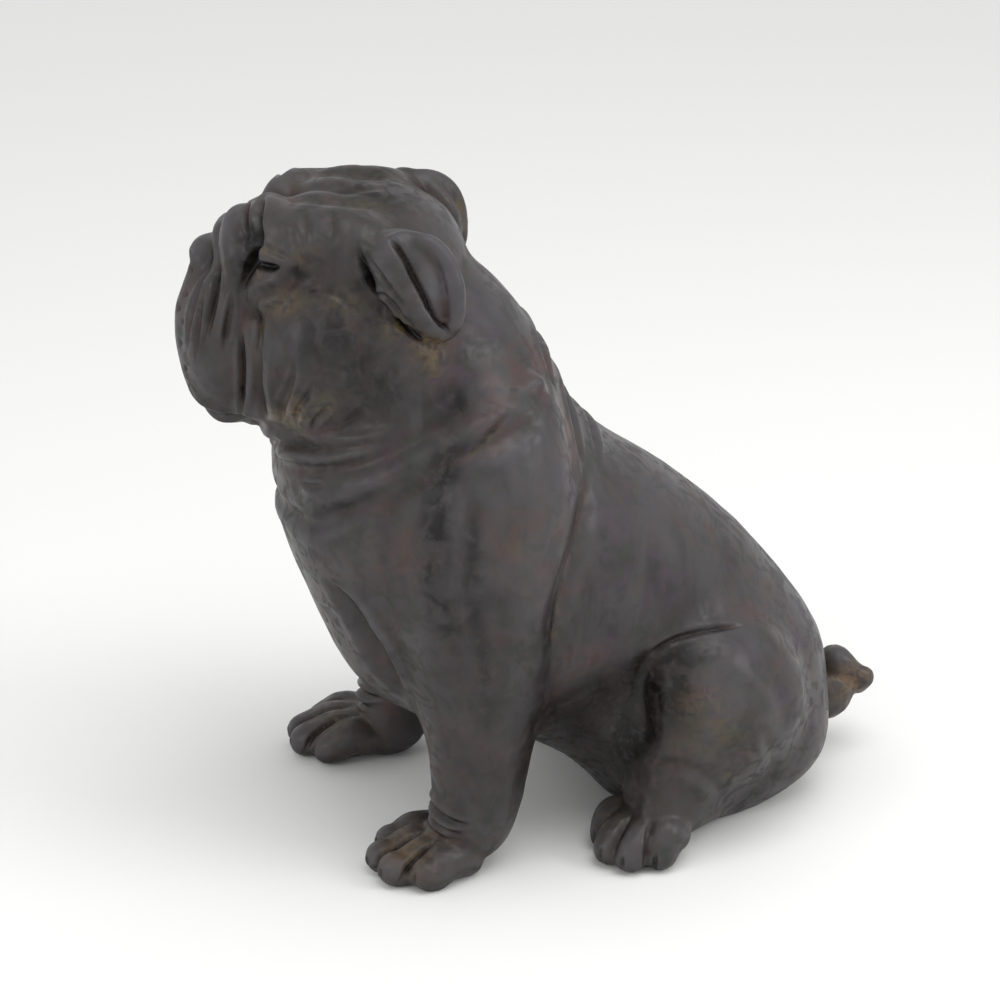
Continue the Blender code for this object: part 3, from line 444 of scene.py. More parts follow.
# Carved lines: path, width, depth, lip and step. A depth below 0 is a raised fold. Those of the face are
# in the head's frame, and most lines are on both sides.
carving = {
    "face": [
        # temple furrows, and one along the crown
        ([(11.8, 13.9, 89.4), (12.8, 13.1, 87.8), (13.3, 12.6, 86.0)], 0.7, 0.20, 0.05),
        ([(9.4, 12.2, 91.0), (11.4, 11.6, 89.9), (12.8, 11.0, 88.2), (13.4, 10.8, 86.0)], 0.65, 0.24, 0.06),
        ([(9.6, 8.6, 91.4), (11.2, 8.2, 90.6), (12.8, 7.8, 89.4), (13.7, 7.4, 87.2)], 0.7, 0.26, 0.06),
        ([(12.6, 5.6, 90.0), (13.8, 5.4, 88.2), (14.4, 5.2, 86.0), (14.6, 5.2, 83.4)], 1.1, 0.22, 0.0),
        ([(5.0, 15.0, 91.4), (6.0, 11.0, 92.1), (6.4, 7.0, 92.2), (6.2, 3.0, 91.6)], 1.3, 0.26, 0.08),
        # crease between the nose rolls and the brow, down past the eye
        ([(3.6, 18.3, 90.4), (6.6, 18.0, 90.0), (9.2, 17.7, 88.8), (10.7, 17.5, 87.0), (10.4, 18.3, 84.8),
          (9.8, 19.0, 82.6), (9.6, 19.8, 80.6), (9.8, 20.4, 78.6)], 0.65, 1.5, 0.2),
        ([(3.8, 20.2, 89.4), (6.4, 19.9, 88.9), (8.6, 19.4, 87.6), (9.6, 19.2, 85.8)], 0.45, 0.9, 0.15),
        # slit of the eye, upper lid and pouch below
        ([(9.2, 19.0, 83.7), (11.0, 17.9, 83.7), (12.3, 16.5, 83.8), (13.6, 14.2, 84.2)], 0.4, 1.3, 0.15),
        ([(10.4, 17.9, 86.6), (11.8, 16.8, 86.3), (13.0, 14.8, 85.9), (13.7, 12.6, 85.1)], 0.4, 0.25, 0.1),
        ([(9.8, 18.9, 78.0), (11.4, 17.6, 79.4), (12.9, 15.9, 80.8), (13.3, 13.6, 82.0)], 0.7, 0.55, 0.3),
        # front edge of the nose roll and its run down the muzzle
        ([(2.4, 22.9, 88.4), (4.6, 23.5, 86.8), (6.2, 23.8, 84.8), (7.2, 23.9, 82.4), (8.2, 23.9, 80.2),
          (9.2, 23.9, 77.8), (10.0, 24.4, 74.4), (10.0, 25.0, 71.6)], 0.55, 1.0, 0.2),
        ([(4.6, 26.2, 82.4), (6.2, 26.0, 80.0), (7.6, 26.0, 77.0), (8.4, 26.6, 73.4), (8.6, 27.0, 70.6)],
         0.6, 0.5, 0.2),
        ([(7.6, 24.9, 78.8), (8.8, 25.2, 75.6), (9.4, 25.6, 72.4), (9.4, 26.0, 69.4)], 0.35, 0.28, 0.1),
        ([(10.6, 21.6, 80.4), (11.4, 21.8, 77.4), (12.0, 22.2, 74.6), (12.0, 22.8, 71.4)], 0.45, 0.55, 0.2),
        # upright grooves and folds behind the flews
        ([(11.2, 20.6, 76.0), (11.9, 20.4, 72.6), (12.0, 20.4, 69.0), (11.0, 20.8, 64.6), (9.4, 21.2, 61.4)],
         0.42, 0.85, 0.2),
        ([(12.3, 18.9, 76.4), (12.6, 18.9, 72.0), (12.5, 19.1, 68.0), (11.2, 19.8, 62.9)], 0.55, -0.35, 0.0),
        ([(13.6, 17.8, 76.4), (14.0, 17.2, 72.6), (13.4, 17.4, 68.6), (12.2, 17.7, 64.0), (11.2, 18.0, 61.6)],
         0.7, 1.05, 0.2),
        ([(14.8, 15.9, 76.4), (15.2, 15.5, 72.0), (14.6, 15.6, 67.4), (13.4, 15.9, 63.4)], 0.6, -0.3, 0.0),
        # slack folds low on the cheek, aslant
        ([(17.1, 12.0, 74.8), (17.3, 12.1, 72.0), (16.8, 13.0, 69.0), (15.3, 14.4, 65.8), (13.4, 15.0, 62.4)],
         0.5, 0.42, 0.18, 0.08),
        ([(17.9, 9.2, 71.8), (17.6, 10.4, 68.8), (16.4, 12.0, 66.2), (14.6, 12.9, 62.8)], 0.4, 0.34, 0.2, 0.1),
        ([(17.9, 6.8, 68.4), (17.4, 8.4, 66.6), (16.4, 9.8, 64.8), (15.2, 10.6, 62.8)], 0.42, 0.26, 0.14, 0.1),
        ([(17.6, 2.4, 67.6), (17.2, 4.4, 65.8), (16.2, 6.8, 64.0)], 0.6, 0.16, 0.08),
        ([(16.8, 13.6, 77.6), (17.2, 13.4, 74.4), (16.8, 13.8, 71.0), (15.6, 14.8, 67.6)], 0.9, 0.25, 0.1),
        # cheekbone, from the eye back to the ear
        ([(13.3, 13.6, 82.8), (13.6, 11.6, 82.0), (14.2, 9.2, 81.7), (14.9, 6.9, 81.4), (15.4, 5.0, 80.4),
          (15.9, 3.2, 79.0), (16.4, 1.8, 77.0)], 0.45, 0.16, 0.05, 0.07),
        ([(14.2, 12.0, 80.2), (15.0, 9.8, 79.4), (15.8, 7.4, 78.0), (16.4, 5.4, 76.0)], 1.0, 0.12, 0.05),
        # mouth, from the middle out under the flews
        ([(0.5, 29.2, 69.8), (1.7, 29.2, 68.0), (3.4, 28.6, 65.6), (6.0, 27.3, 63.2), (9.0, 23.0, 61.5),
          (11.0, 18.0, 61.5)], 0.55, 1.1, 0.2, 0.0, 0.15),
        # nostril
        ([(1.6, 29.7, 80.0), (2.4, 29.5, 81.2), (3.3, 28.7, 81.3)], 0.7, 1.6, 0.1),
    ],
    # cracks before and behind the ear's front fold, and small ones on the fold
    "ears": [
        ([(12.8, 4.8, 88.0), (13.8, 3.6, 85.6), (14.4, 2.0, 82.4), (15.6, -0.4, 79.2), (16.4, -3.0, 77.0),
          (16.0, -5.6, 75.4)], 0.5, 1.5, 0.2),
        ([(13.4, 1.0, 89.2), (15.0, -1.2, 87.4), (16.2, -3.1, 84.5), (16.7, -4.9, 81.6), (16.4, -6.4, 79.0),
          (15.3, -7.6, 77.0)], 0.38, 0.85, 0.05, 0.0, 0.2),
        ([(14.2, 3.6, 87.4), (15.4, 1.4, 85.2), (16.4, -0.8, 82.6), (16.8, -2.8, 80.2)], 0.25, 0.35, 0.15),
        ([(14.4, 2.0, 83.8), (16.0, -0.6, 81.4), (16.8, -2.8, 79.0)], 0.3, 0.25, 0.2),
    ],
    # furrow of the forehead, and the groove under the nose
    "middle": [
        ([(0.0, 21.0, 87.5), (0.0, 18.0, 89.0), (0.0, 13.0, 90.8), (0.0, 7.0, 92.0), (0.0, 2.0, 92.5)],
         1.9, 1.2, 0.0),
        ([(0.0, 30.0, 80.5), (0.0, 29.8, 78.0), (0.0, 29.6, 74.0), (0.0, 29.0, 70.4)], 0.6, 1.0, 0.15, 0.0, 0.2),
    ],
    "body": [
        # creases of the collar, on the neck's side and under the throat, and a crack above the first
        ([(20.6, -16.0, 61.6), (21.4, -13.4, 62.4), (21.2, -10.2, 63.4), (20.6, -6.6, 64.4), (19.4, -2.5, 65.0)],
         1.4, 0.5, 0.15),
        ([(7.6, -33.0, 55.4), (10.6, -31.8, 55.6), (13.6, -29.9, 56.8)], 0.4, 0.3, 0.2),
        ([(19.4, -7.4, 66.8), (20.3, -9.3, 65.6), (20.8, -11.8, 63.6), (21.2, -14.3, 61.7)], 0.35, 0.4, 0.1),
        # back edge of the shoulder, and the slit above the elbow
        ([(11.5, 5.9, 58.0), (17.3, 3.7, 53.4), (21.0, 1.2, 48.2), (23.1, -1.3, 43.7), (23.5, -2.6, 38.3),
          (22.7, -2.7, 32.8), (21.9, -3.0, 28.0)], 1.6, 0.8, 0.1),
        ([(18.6, 2.6, 52.0), (22.2, -0.4, 46.0), (23.5, -1.9, 42.6), (23.6, -2.6, 39.1), (23.3, -2.7, 35.3),
          (22.5, -2.3, 31.6)], 0.4, 1.1, 0.3),
        # between chest and foreleg, and the edge of the leg beside it
        ([(9.0, -30.0, 43.0), (12.4, -27.3, 38.6), (13.4, -25.2, 34.6), (14.0, -22.6, 29.0), (13.4, -20.2, 22.0)],
         1.7, 1.3, 0.2),
        ([(13.0, -27.8, 41.6), (15.6, -26.0, 38.6), (16.9, -24.0, 35.0), (17.6, -22.0, 30.6), (17.2, -20.4, 25.0)],
         1.0, -0.65, 0.0),
        # wrist
        ([(12.0, -16.6, 10.4), (14.6, -17.8, 10.2), (19.1, -17.5, 9.6), (21.6, -15.9, 9.0), (23.0, -13.0, 8.8)],
         0.5, 0.6, 0.4),
        ([(13.0, -18.4, 8.6), (16.6, -18.9, 8.2), (20.4, -17.2, 7.6), (22.4, -14.4, 7.0)], 0.4, 0.35, 0.25),
        # from the belly up over the thigh
        ([(22.6, 10.0, 13.0), (21.8, 9.6, 17.5), (21.0, 9.9, 21.5), (20.3, 10.6, 25.5), (20.2, 12.2, 28.8),
          (20.0, 15.0, 30.8)], 2.0, 1.7, 0.0),
        ([(20.3, 10.6, 25.5), (20.2, 11.7, 28.5), (20.0, 13.7, 30.4), (19.9, 17.1, 31.5), (19.6, 21.5, 31.8),
          (18.5, 27.3, 30.9)], 0.42, 0.65, 0.05, 0.0, 0.3),
        # upper edge of the shank, hock, and the groove between heel and buttock
        ([(20.9, 9.8, 10.6), (22.6, 11.1, 13.0), (24.8, 12.7, 14.5), (25.9, 14.9, 15.0), (26.1, 17.7, 13.4),
          (24.8, 20.5, 10.3), (20.9, 23.4, 5.0)], 1.2, 0.5, 0.0),
        ([(26.6, 21.4, 16.9), (26.4, 23.0, 16.4), (26.2, 24.7, 15.7), (25.6, 26.3, 14.4)], 0.4, 0.3, 0.04),
        ([(26.0, 25.4, 21.5), (26.1, 26.2, 19.0), (25.0, 27.3, 16.1), (22.4, 29.2, 12.4), (20.1, 30.3, 9.6),
          (18.1, 31.5, 4.5)], 1.2, 0.4, 0.0),
    ],
    # right round from side to side, given from the middle out to the left
    "round": [
        # lower and upper edge of the collar
        ([(3.0, -33.5, 49.4), (9.8, -31.6, 50.3), (14.0, -28.9, 52.7), (17.0, -26.0, 55.5), (19.2, -22.2, 58.6),
          (20.2, -18.4, 61.2)], 1.3, 0.7, 0.3),
        ([(2.8, -33.1, 59.3), (9.8, -30.4, 60.5), (14.3, -26.7, 62.1), (17.0, -21.7, 64.0), (17.6, -18.4, 65.8)],
         0.9, 0.9, 0.35),
        # three wrinkles over the withers
        ([(3.0, 2.0, 71.0), (7.0, 1.0, 70.0), (10.2, 1.0, 67.3), (13.2, 1.1, 64.9)], 0.9, 0.9, 0.35),
        ([(3.0, 5.6, 64.5), (7.0, 5.0, 63.0), (10.5, 4.8, 60.6), (13.9, 4.4, 57.7), (16.6, 3.8, 54.6)],
         0.9, 1.15, 0.4),
        ([(3.0, 9.6, 58.6), (7.0, 8.6, 57.8), (11.7, 7.4, 55.7), (14.2, 6.7, 54.0)], 0.7, 0.8, 0.35),
    ],
    # fullness of the ear flaps: place on the head, size, height
    "flaps": [
        ((16.4, -5.8, 83.4), (4.0, 1.9, 4.2), 0.55),
    ],
    # soft swellings and hollows on both sides: place, size, height
    "swellings": [
        ((21.5, 6.5, 18.0), (4.0, 4.6, 8.0), -2.6),
        ((23.5, 18.0, 22.0), (5.0, 8.0, 8.0), 0.7),
        ((24.4, 30.2, 23.0), (3.0, 3.2, 7.0), -0.8),
        ((22.4, 28.6, 28.4), (3.0, 3.6, 3.0), -0.6),
        ((19.0, 36.0, 24.0), (4.0, 3.0, 8.0), 0.8),
    ],
    "toeGroove": (0.38, 0.75, 0.08),
    "hindToeGroove": (0.5, 0.5, 0.05),
    "claw": (0.3, 0.7, 0.12),
    # whisker pits on the flews, in the head's frame
    "pits": [(3.7, 28.7, 79.9), (5.4, 29.2, 77.2), (7.4, 29.1, 74.1), (6.0, 30.4, 75.4), (7.5, 29.6, 71.1),
             (8.2, 28.9, 67.9), (6.4, 30.2, 69.2)],
    "pit": (0.36, 0.4),         # radius and depth
}

# Uneven modelling: millimetres across and height of the lumps, and the places that are rougher
relief = {
    "lumps": [(42.0, 0.16), (17.0, 0.10), (7.0, 0.035)],
    "roughMm": 4.2,
    "rough": [
        ("head", (16.0, -4.9, 74.0), (1.9, 2.4, 2.4), 0.32),
        ("head", (15.8, -1.4, 80.6), (1.8, 3.0, 4.4), 0.2),
        ("head", (15.9, 1.6, 78.6), (1.4, 2.4, 1.6), 0.16),
        ("head", (14.4, 10.6, 82.2), (1.6, 3.2, 0.9), 0.14),
        ("body", (23.6, -15.5, 46.0), (3.0, 3.0, 9.0), 0.10),
        ("body", (18.0, -18.0, 3.0), (7.0, 6.0, 4.0), 0.07),
        ("body", (22.0, 8.0, 4.0), (6.0, 6.0, 4.0), 0.06),
        ("body", (0.0, 48.5, 11.0), (4.0, 3.5, 5.0), 0.10),
    ],
}


def nearPlace(skin, grid, place, size):
    # 1 at a place on the figure, falling to 0 round it; skin is in hundredths
    spot = np.array(onHead(place) if grid == "head" else place)
    away = skin - spot
    if grid == "head":
        sin, cos = math.sin(headTurn), math.cos(headTurn)
        left = cos * away[:, 0] + sin * away[:, 1]
        back = cos * away[:, 1] - sin * away[:, 0]
        away = np.stack([left, back, away[:, 2]], axis=1)
    return np.exp(-((away / size) ** 2).sum(axis=1))


def lumpy(skin, millimetres):
    # noise of a real size at each place, from -1 to 1
    scale = share * 1000 / millimetres
    return np.array([noise.noise(Vector(spot) * scale) for spot in skin])


def carve(lump):
    carver = Carver(lump)
    carver.roughen()
    for place, size, height in carving["swellings"]:
        for side in sides:
            carver.swell((side * place[0], *place[1:]), size, height)
    for points, *cut in carving["face"]:
        carver.line([onHead(point) for point in points], *cut)
        carver.line([onHead(point) for point in flipped(points)], *cut)
    ahead, raised = ears["rightEar"]
    for points, *cut in carving["ears"]:
        carver.line([onHead(point) for point in points], *cut)
        carver.line([onHead((-left, forward + ahead, up + raised)) for left, forward, up in points], *cut)
    for place, size, height in carving["flaps"]:
        carver.swell(onHead(place), size, height)
        carver.swell(onHead((-place[0], place[1] + ahead, place[2] + raised)), size, height)
    for points, *cut in carving["middle"]:
        carver.line([onHead(point) for point in points], *cut)
    for points, *cut in carving["body"]:
        carver.line(points, *cut)
        carver.line(flipped(points), *cut)
    for points, *cut in carving["round"]:
        carver.line([*flipped(points[::-1]), *points], *cut)
    for paw in paws["feet"]:
        height = paw[4]
        groove = carving["toeGroove" if paw[1][1] < 0 else "hindToeGroove"]
        rises = ((0.2, height + 2.2), (0.6, height + 2.0), (0.95, height), (1.2, 1.6), (1.3, 0.2))
        for gap in range(paws["toeCount"] - 1):
            root, ahead, length = toeRay(paw, gap + 1 - paws["toeCount"] / 2)
            path = [root + ahead * length * part + (0.0, 0.0, up) for part, up in rises]
            carver.line(path, *groove)
        for toe in range(paws["toeCount"]):
            root, ahead, length = toeRay(paw, toe - (paws["toeCount"] - 1) / 2)
            tip = root + ahead * length * 1.3
            carver.line([tip + (0.0, 0.0, up) for up in (3.4, 2.4, 1.5, 0.6)], *carving["claw"])
    for left, forward, up in carving["pits"]:
        for side in sides:
            carver.pit(onHead((side * left, forward, up)))
    carver.finish()


def standInFrame(lump):
    # level soles, then the figure is set exactly into the solid's box; gives how far that shifts it
    count = len(lump.data.vertices)
    flat = np.empty(count * 3, np.float32)
    lump.data.vertices.foreach_get("co", flat)
    skin = flat.reshape(-1, 3).astype(float)
    skin[:, 2] = np.maximum(skin[:, 2], 0.0)
    lowest, highest = skin.min(axis=0), skin.max(axis=0)
    target = np.array(low), np.array(high)
    skin = target[0] + (skin - lowest) * (target[1] - target[0]) / (highest - lowest)
    lump.data.vertices.foreach_set("co", skin.astype(np.float32).ravel())
    lump.data.update()
    return (target[0] + target[1] - lowest - highest) / 2 / share


def buildFigure():
    body = Clay()
    addTrunk(body)
    addLegs(body)
    lump = body.press(figure["bodyVoxel"], figure["bodySmoothing"])
    head = Clay(lump)
    addSkull(head)
    head.press(figure["headVoxel"], figure["headSmoothing"])
    print("body and skull pressed")

    face = Clay(lump)
    addFace(face)
    addCollar(face)
    face.press(figure["faceVoxel"], figure["faceSmoothing"])
    detail = Clay(lump)
    addPaws(detail)
    addTail(detail)
    addEars(detail)
    detail.press(figure["detailVoxel"], figure["detailSmoothing"])
    print("face, ears, paws and tail pressed")

    Clay(lump).press(figure["skinVoxel"], 1)
    carve(lump)
    print("folds carved,", len(lump.data.polygons), "faces")
    thin = lump.modifiers.new("Thin", "DECIMATE")
    thin.ratio = figure["triangleCount"] / (2 * len(lump.data.polygons))
    bake(lump)
    shift = standInFrame(lump)
    lump.data.shade_smooth()
    print("skin thinned to", len(lump.data.polygons), "faces, shifted by", shift.round(2))
    return lump, shift


bulldog, shift = buildFigure()


def linear(sheet):
    # sRGB hex to the linear colour that the shader wants
    parts = [int(sheet[start:start + 2], 16) / 255 for start in (1, 3, 5)]
    return (*(part / 12.92 if part <= 0.04045 else ((part + 0.055) / 1.055) ** 2.4 for part in parts), 1.0)


def addNode(tree, kind, settings=(), values=(), links=()):
    node = tree.nodes.new(kind)
    for name, value in dict(settings).items():
        setattr(node, name, value)
    for name, value in dict(values).items():
        node.inputs[name].default_value = value
    for name, socket in dict(links).items():
        tree.links.new(socket, node.inputs[name])
    return node


# Where dirt and glaze gather, where hands rub, and where painted shade and painted highlight go. Spots are on both
# sides: grid, place, size, strength.
# Runs are on the body's own grid: path, width, strength, and whether the other side has them too.
wear = {
    "ochre": {
        "spots": [
            ("head", (12.6, 16.4, 86.0), (1.3, 1.4, 1.0), 0.8),
            ("head", (13.4, 11.6, 85.8), (1.2, 1.6, 1.6), 0.5),
            ("head", (14.2, 13.6, 79.8), (1.8, 3.2, 1.8), 0.5),
            ("head", (15.2, 6.0, 80.4), (1.6, 3.0, 1.8), 0.4),
            ("head", (16.0, -0.6, 78.0), (1.4, 2.0, 1.6), 0.9),
            ("head", (16.0, -3.6, 76.6), (1.6, 2.2, 1.2), 0.9),
            ("head", (16.0, -5.2, 73.8), (1.8, 2.2, 2.8), 0.85),
            ("head", (16.4, 12.0, 66.2), (1.6, 1.4, 2.4), 0.8),
            ("head", (14.4, 14.8, 64.0), (2.6, 3.0, 1.8), 0.8),
            ("head", (17.6, 8.6, 67.0), (1.6, 1.4, 2.4), 0.55),
            ("head", (13.0, 18.4, 76.0), (1.6, 1.8, 4.0), 0.4),
            ("head", (6.0, 6.0, 91.0), (3.0, 4.0, 2.0), 0.3),
            ("body", (0.0, 48.6, 8.6), (4.0, 3.4, 4.0), 1.0),
            ("body", (18.0, -20.5, 3.4), (5.0, 4.0, 3.0), 0.6),
            ("body", (25.4, 14.5, 25.5), (2.0, 2.0, 2.6), 0.45),
            ("body", (26.4, 20.4, 20.4), (2.0, 2.2, 3.4), 0.55),
            ("body", (26.0, 22.4, 11.6), (2.6, 1.6, 1.8), 0.6),
            ("body", (21.6, 6.2, 4.0), (4.0, 4.0, 3.4), 0.3),
            ("body", (19.8, -29.0, 49.0), (3.6, 5.0, 4.6), 0.35),
            ("body", (24.6, 20.0, 19.0), (3.0, 6.0, 5.0), 0.4),
            ("body", (25.0, -9.0, 51.0), (2.6, 3.0, 4.0), 0.35),
        ],
        "runs": [
            ([(21.6, -15.0, 61.3), (21.2, -12.0, 63.0), (20.6, -9.4, 65.0)], 0.4, 0.5, True),
            ([(23.6, -1.7, 43.6), (23.4, -1.9, 40.3), (23.4, -2.2, 36.9), (23.2, -2.4, 34.2)], 0.8, 0.9, True),
            ([(20.6, 5.6, 50.6), (23.6, 1.6, 47.0), (24.6, -1.6, 44.8)], 1.2, 0.3, True),
            ([(-10.2, -5.9, 86.0), (-10.7, -5.0, 83.4), (-11.2, -4.4, 81.2)], 0.9, 1.0, False),
            ([(12.4, 2.0, 67.0), (16.0, 2.0, 62.6), (18.6, 1.6, 58.6)], 0.8, 0.35, True),
        ],
    },
    "sienna": {
        "spots": [
            ("body", (0.5, 49.6, 11.6), (3.6, 3.0, 2.6), 1.0),
            ("body", (18.4, -22.0, 4.6), (4.4, 3.6, 2.4), 0.3),
            ("body", (25.6, 17.4, 24.2), (2.2, 3.0, 2.2), 0.22),
            ("head", (16.0, -4.9, 75.4), (1.6, 2.2, 1.4), 0.4),
            ("head", (14.0, 14.4, 79.2), (1.8, 2.2, 1.6), 0.25),
            ("head", (15.8, 12.8, 66.0), (1.4, 1.4, 2.2), 0.3),
            ("head", (11.6, 17.6, 82.6), (1.2, 1.2, 0.7), 0.3),
        ],
        "runs": [
            ([(23.8, -1.5, 42.8), (23.6, -1.8, 39.6), (23.5, -2.1, 36.9), (23.4, -2.4, 35.0)], 0.5, 1.0, True),
        ],
    },
    "umberAndShade": {
        # brown wash: patina on the cheeks and the crown, and painted shade low down, under the belly, by the paws,
        # in front of the thighs and under the tail
        "spots": [
            ("head", (12.0, 12.0, 72.0), (8.0, 12.0, 13.0), 0.9),
            ("head", (6.0, 8.0, 89.0), (9.0, 12.0, 6.0), 0.95),
            ("head", (15.4, -2.4, 80.6), (2.4, 3.4, 5.0), 0.9),
            ("body", (17.0, -20.0, 3.0), (7.0, 8.0, 5.0), 0.9),
            ("body", (20.0, 8.0, 5.0), (8.0, 8.0, 6.0), 0.7),
            ("body", (23.0, 13.0, 20.0), (6.0, 6.5, 11.0), 0.9),
            ("body", (14.0, 2.0, 16.0), (16.0, 12.0, 8.0), 0.9),
            ("body", (0.0, 48.0, 11.0), (5.0, 4.0, 6.0), 0.8),
            ("body", (21.0, -14.0, 30.0), (5.0, 6.0, 14.0), 0.5),
        ],
        "runs": [],
    },
    "glazeAndShade": {
        # dark glaze: real runs down the shoulder, in the slit above the elbow and in the collar crease, and
        # painted shade in the recess by the eye, the ear's crevice, under the ear, on the cheek, behind the
        # foreleg, in front of the thighs and under the belly
        "spots": [
            ("head", (10.2, 19.6, 84.2), (2.6, 2.4, 4.4), 1.0),
            ("head", (9.9, 19.0, 86.0), (0.9, 1.4, 3.6), 1.0),
            ("head", (15.2, -2.6, 85.4), (1.6, 1.0, 2.6), 0.5),
            ("head", (14.6, 3.8, 84.6), (1.2, 1.6, 3.4), 0.9),
            ("head", (16.6, 7.0, 77.6), (4.6, 8.0, 7.4), 0.55),
            ("head", (17.2, 3.0, 71.0), (3.6, 7.0, 6.4), 0.6),
            ("head", (16.6, 12.4, 67.4), (2.6, 3.6, 3.8), 0.4),
            ("head", (15.6, -8.0, 68.0), (1.8, 2.6, 2.8), 0.8),
            ("head", (10.2, 26.6, 75.5), (3.0, 3.0, 7.0), 0.3),
            ("head", (3.5, 5.5, 91.0), (8.0, 7.0, 3.0), 0.65),
            ("body", (21.0, 7.2, 15.6), (4.6, 4.6, 9.5), 1.0),
            ("body", (18.2, 9.2, 15.4), (5.0, 4.0, 5.0), 1.0),
            ("body", (19.6, 11.4, 21.4), (5.0, 4.0, 9.0), 1.0),
            ("body", (22.4, 14.0, 24.4), (3.4, 3.4, 6.4), 1.0),
            ("body", (21.0, 15.4, 28.8), (3.0, 4.6, 2.2), 0.8),
            ("body", (22.2, 32.6, 16.5), (3.0, 3.0, 6.0), 0.3),
            ("body", (20.4, -6.6, 22.0), (5.0, 3.0, 12.0), 0.6),
            ("body", (16.4, -21.0, 30.0), (3.6, 5.0, 8.0), 0.4),
            ("body", (10.0, -2.0, 14.0), (18.0, 9.0, 7.0), 0.6),
        ],
        "runs": [
            ([(17.0, -16.2, 69.7), (20.5, -16.4, 62.0), (21.9, -18.0, 56.7), (23.2, -18.9, 51.2),
              (24.0, -19.2, 45.5), (25.2, -17.9, 40.8), (25.6, -16.4, 36.0)], 2.3, 0.75, True),
            ([(23.2, -13.5, 59.7), (25.2, -14.2, 54.5), (26.2, -14.6, 48.9), (26.6, -14.7, 41.6),
              (26.3, -13.5, 36.3), (25.4, -12.8, 30.0), (24.2, -12.6, 22.0)], 1.5, 0.5, True),
            ([(23.6, -2.4, 43.6), (23.2, -2.8, 39.5), (23.1, -3.1, 36.7), (23.0, -3.1, 33.6)], 0.45, 1.0, True),
            ([(21.2, -14.3, 61.5), (20.8, -11.8, 63.4), (20.3, -9.3, 65.4)], 0.3, 0.7, True),
            ([(14.0, 8.0, 60.0), (19.0, 9.0, 50.0), (21.0, 10.0, 40.0)], 1.6, 0.3, True),
        ],
    },
    "rubAndHighlight": {
        # greyed where hands rub, and painted highlights on the ear flap, the back and the rump
        "spots": [
            ("head", (11.4, 17.8, 79.9), (1.3, 1.2, 1.3), 0.5),
            ("head", (10.6, 15.4, 88.6), (1.6, 2.0, 2.0), 0.3),
            ("head", (16.0, -5.6, 83.1), (1.8, 2.4, 4.0), 1.0),
            ("body", (22.0, -6.0, 58.0), (3.0, 4.0, 4.0), 0.25),
            ("body", (24.0, -16.0, 55.5), (1.6, 1.2, 3.0), 0.6),
            ("body", (26.0, 20.0, 23.0), (3.0, 4.0, 4.6), 0.35),
            ("body", (0.0, 40.0, 28.0), (16.0, 6.0, 14.0), 0.15),
            ("body", (0.0, 22.0, 48.0), (12.0, 9.0, 9.0), 0.2),
        ],
        "runs": [
            # painted highlight along the foreleg's front edge
            ([(13.4, -28.8, 43.0), (15.2, -26.7, 39.9), (16.7, -25.1, 36.9), (18.0, -22.6, 32.3),
              (18.3, -20.3, 26.9), (17.9, -18.8, 22.0)], 0.6, 0.7, True),
        ],
    },
}


# How the folds are told from the flats: rounds of easing, and the depth and height, in hundredths, at
# which a hollow or a ridge is full
folds = {
    "fine": {"rounds": 8, "hollow": 0.12, "ridge": 0.10},
    "broad": {"rounds": 90, "hollow": 0.9, "ridge": 1.0},
}


def curvature(skin, normals, edges, rounds):
    # how far the skin lies under the average of its surroundings: more than 0 in hollows
    count = len(skin)
    both = np.concatenate([edges[:, 0], edges[:, 1]]), np.concatenate([edges[:, 1], edges[:, 0]])
    links = np.maximum(np.bincount(both[0], minlength=count), 1)

    def ease(values, times):
        for _ in range(times):
            values = 0.4 * values + 0.6 * np.bincount(both[0], weights=values[both[1]], minlength=count) / links
        return values

    eased = np.stack([ease(skin[:, axis], rounds) for axis in range(3)], axis=1)
    return ease(np.einsum("ij,ij->i", eased - skin, normals) / share, 3)


def nearPath(skin, points, width):
    # 1 along a path, falling to 0 beside it and towards its ends
    path = smoothPath(points, 5)
    best = np.zeros(len(skin))
    for index, (start, end) in enumerate(zip(path, path[1:])):
        span = end - start
        part = np.clip((skin - start) @ span / max(span @ span, 1e-9), 0.0, 1.0)
        away = np.linalg.norm(skin - start - part[:, None] * span, axis=1)
        run = (index + part) / (len(path) - 1)
        ends = np.clip(5 * run, 0, 1) * np.clip(5 - 5 * run, 0, 1)
        best = np.maximum(best, np.exp(-((away / width) ** 2)) * ends)
    return best


def markWear(item):
    mesh = item.data
    count = len(mesh.vertices)
    flat = np.empty(count * 3, np.float32)
    mesh.vertices.foreach_get("co", flat)
    skin = flat.reshape(-1, 3).astype(float)
    mesh.vertex_normals.foreach_get("vector", flat)
    normals = flat.reshape(-1, 3).astype(float)
    ends = np.empty(len(mesh.edges) * 2, np.int32)
    mesh.edges.foreach_get("vertices", ends)
    edges = ends.reshape(-1, 2)
    fine, broad = folds["fine"], folds["broad"]
    crease = curvature(skin, normals, edges, fine["rounds"])
    dip = curvature(skin, normals, edges, broad["rounds"])
    # hollow and ridge measure the skin's shape; in the resin they carry painted shade in the hollows and painted
    # highlight on the ridges
    layers = {
        "hollow": np.clip(crease / fine["hollow"], 0, 1.4) + np.clip(dip / broad["hollow"], 0, 1.2),
        "ridge": np.clip(-crease / fine["ridge"], 0, 1.2) * 0.6 + np.clip(-dip / broad["ridge"], 0, 1.0) * 0.5,
    }
    spots = skin / share - shift
    for layer, marks in wear.items():
        total = np.zeros(count)
        for grid, place, size, strength in marks["spots"]:
            for side in sides:
                here = nearPlace(spots, grid, (side * place[0], *place[1:]), size)
                total = np.maximum(total, strength * here)
        for points, width, strength, mirrored in marks["runs"]:
            for path in (points, flipped(points))[:2 if mirrored else 1]:
                total = np.maximum(total, strength * nearPath(spots, path, width))
        layers[layer] = total
    for name, values in layers.items():
        layer = mesh.attributes.new(name, "FLOAT", "POINT")
        layer.data.foreach_set("value", values.astype(np.float32))


markWear(bulldog)
print("wear marked")
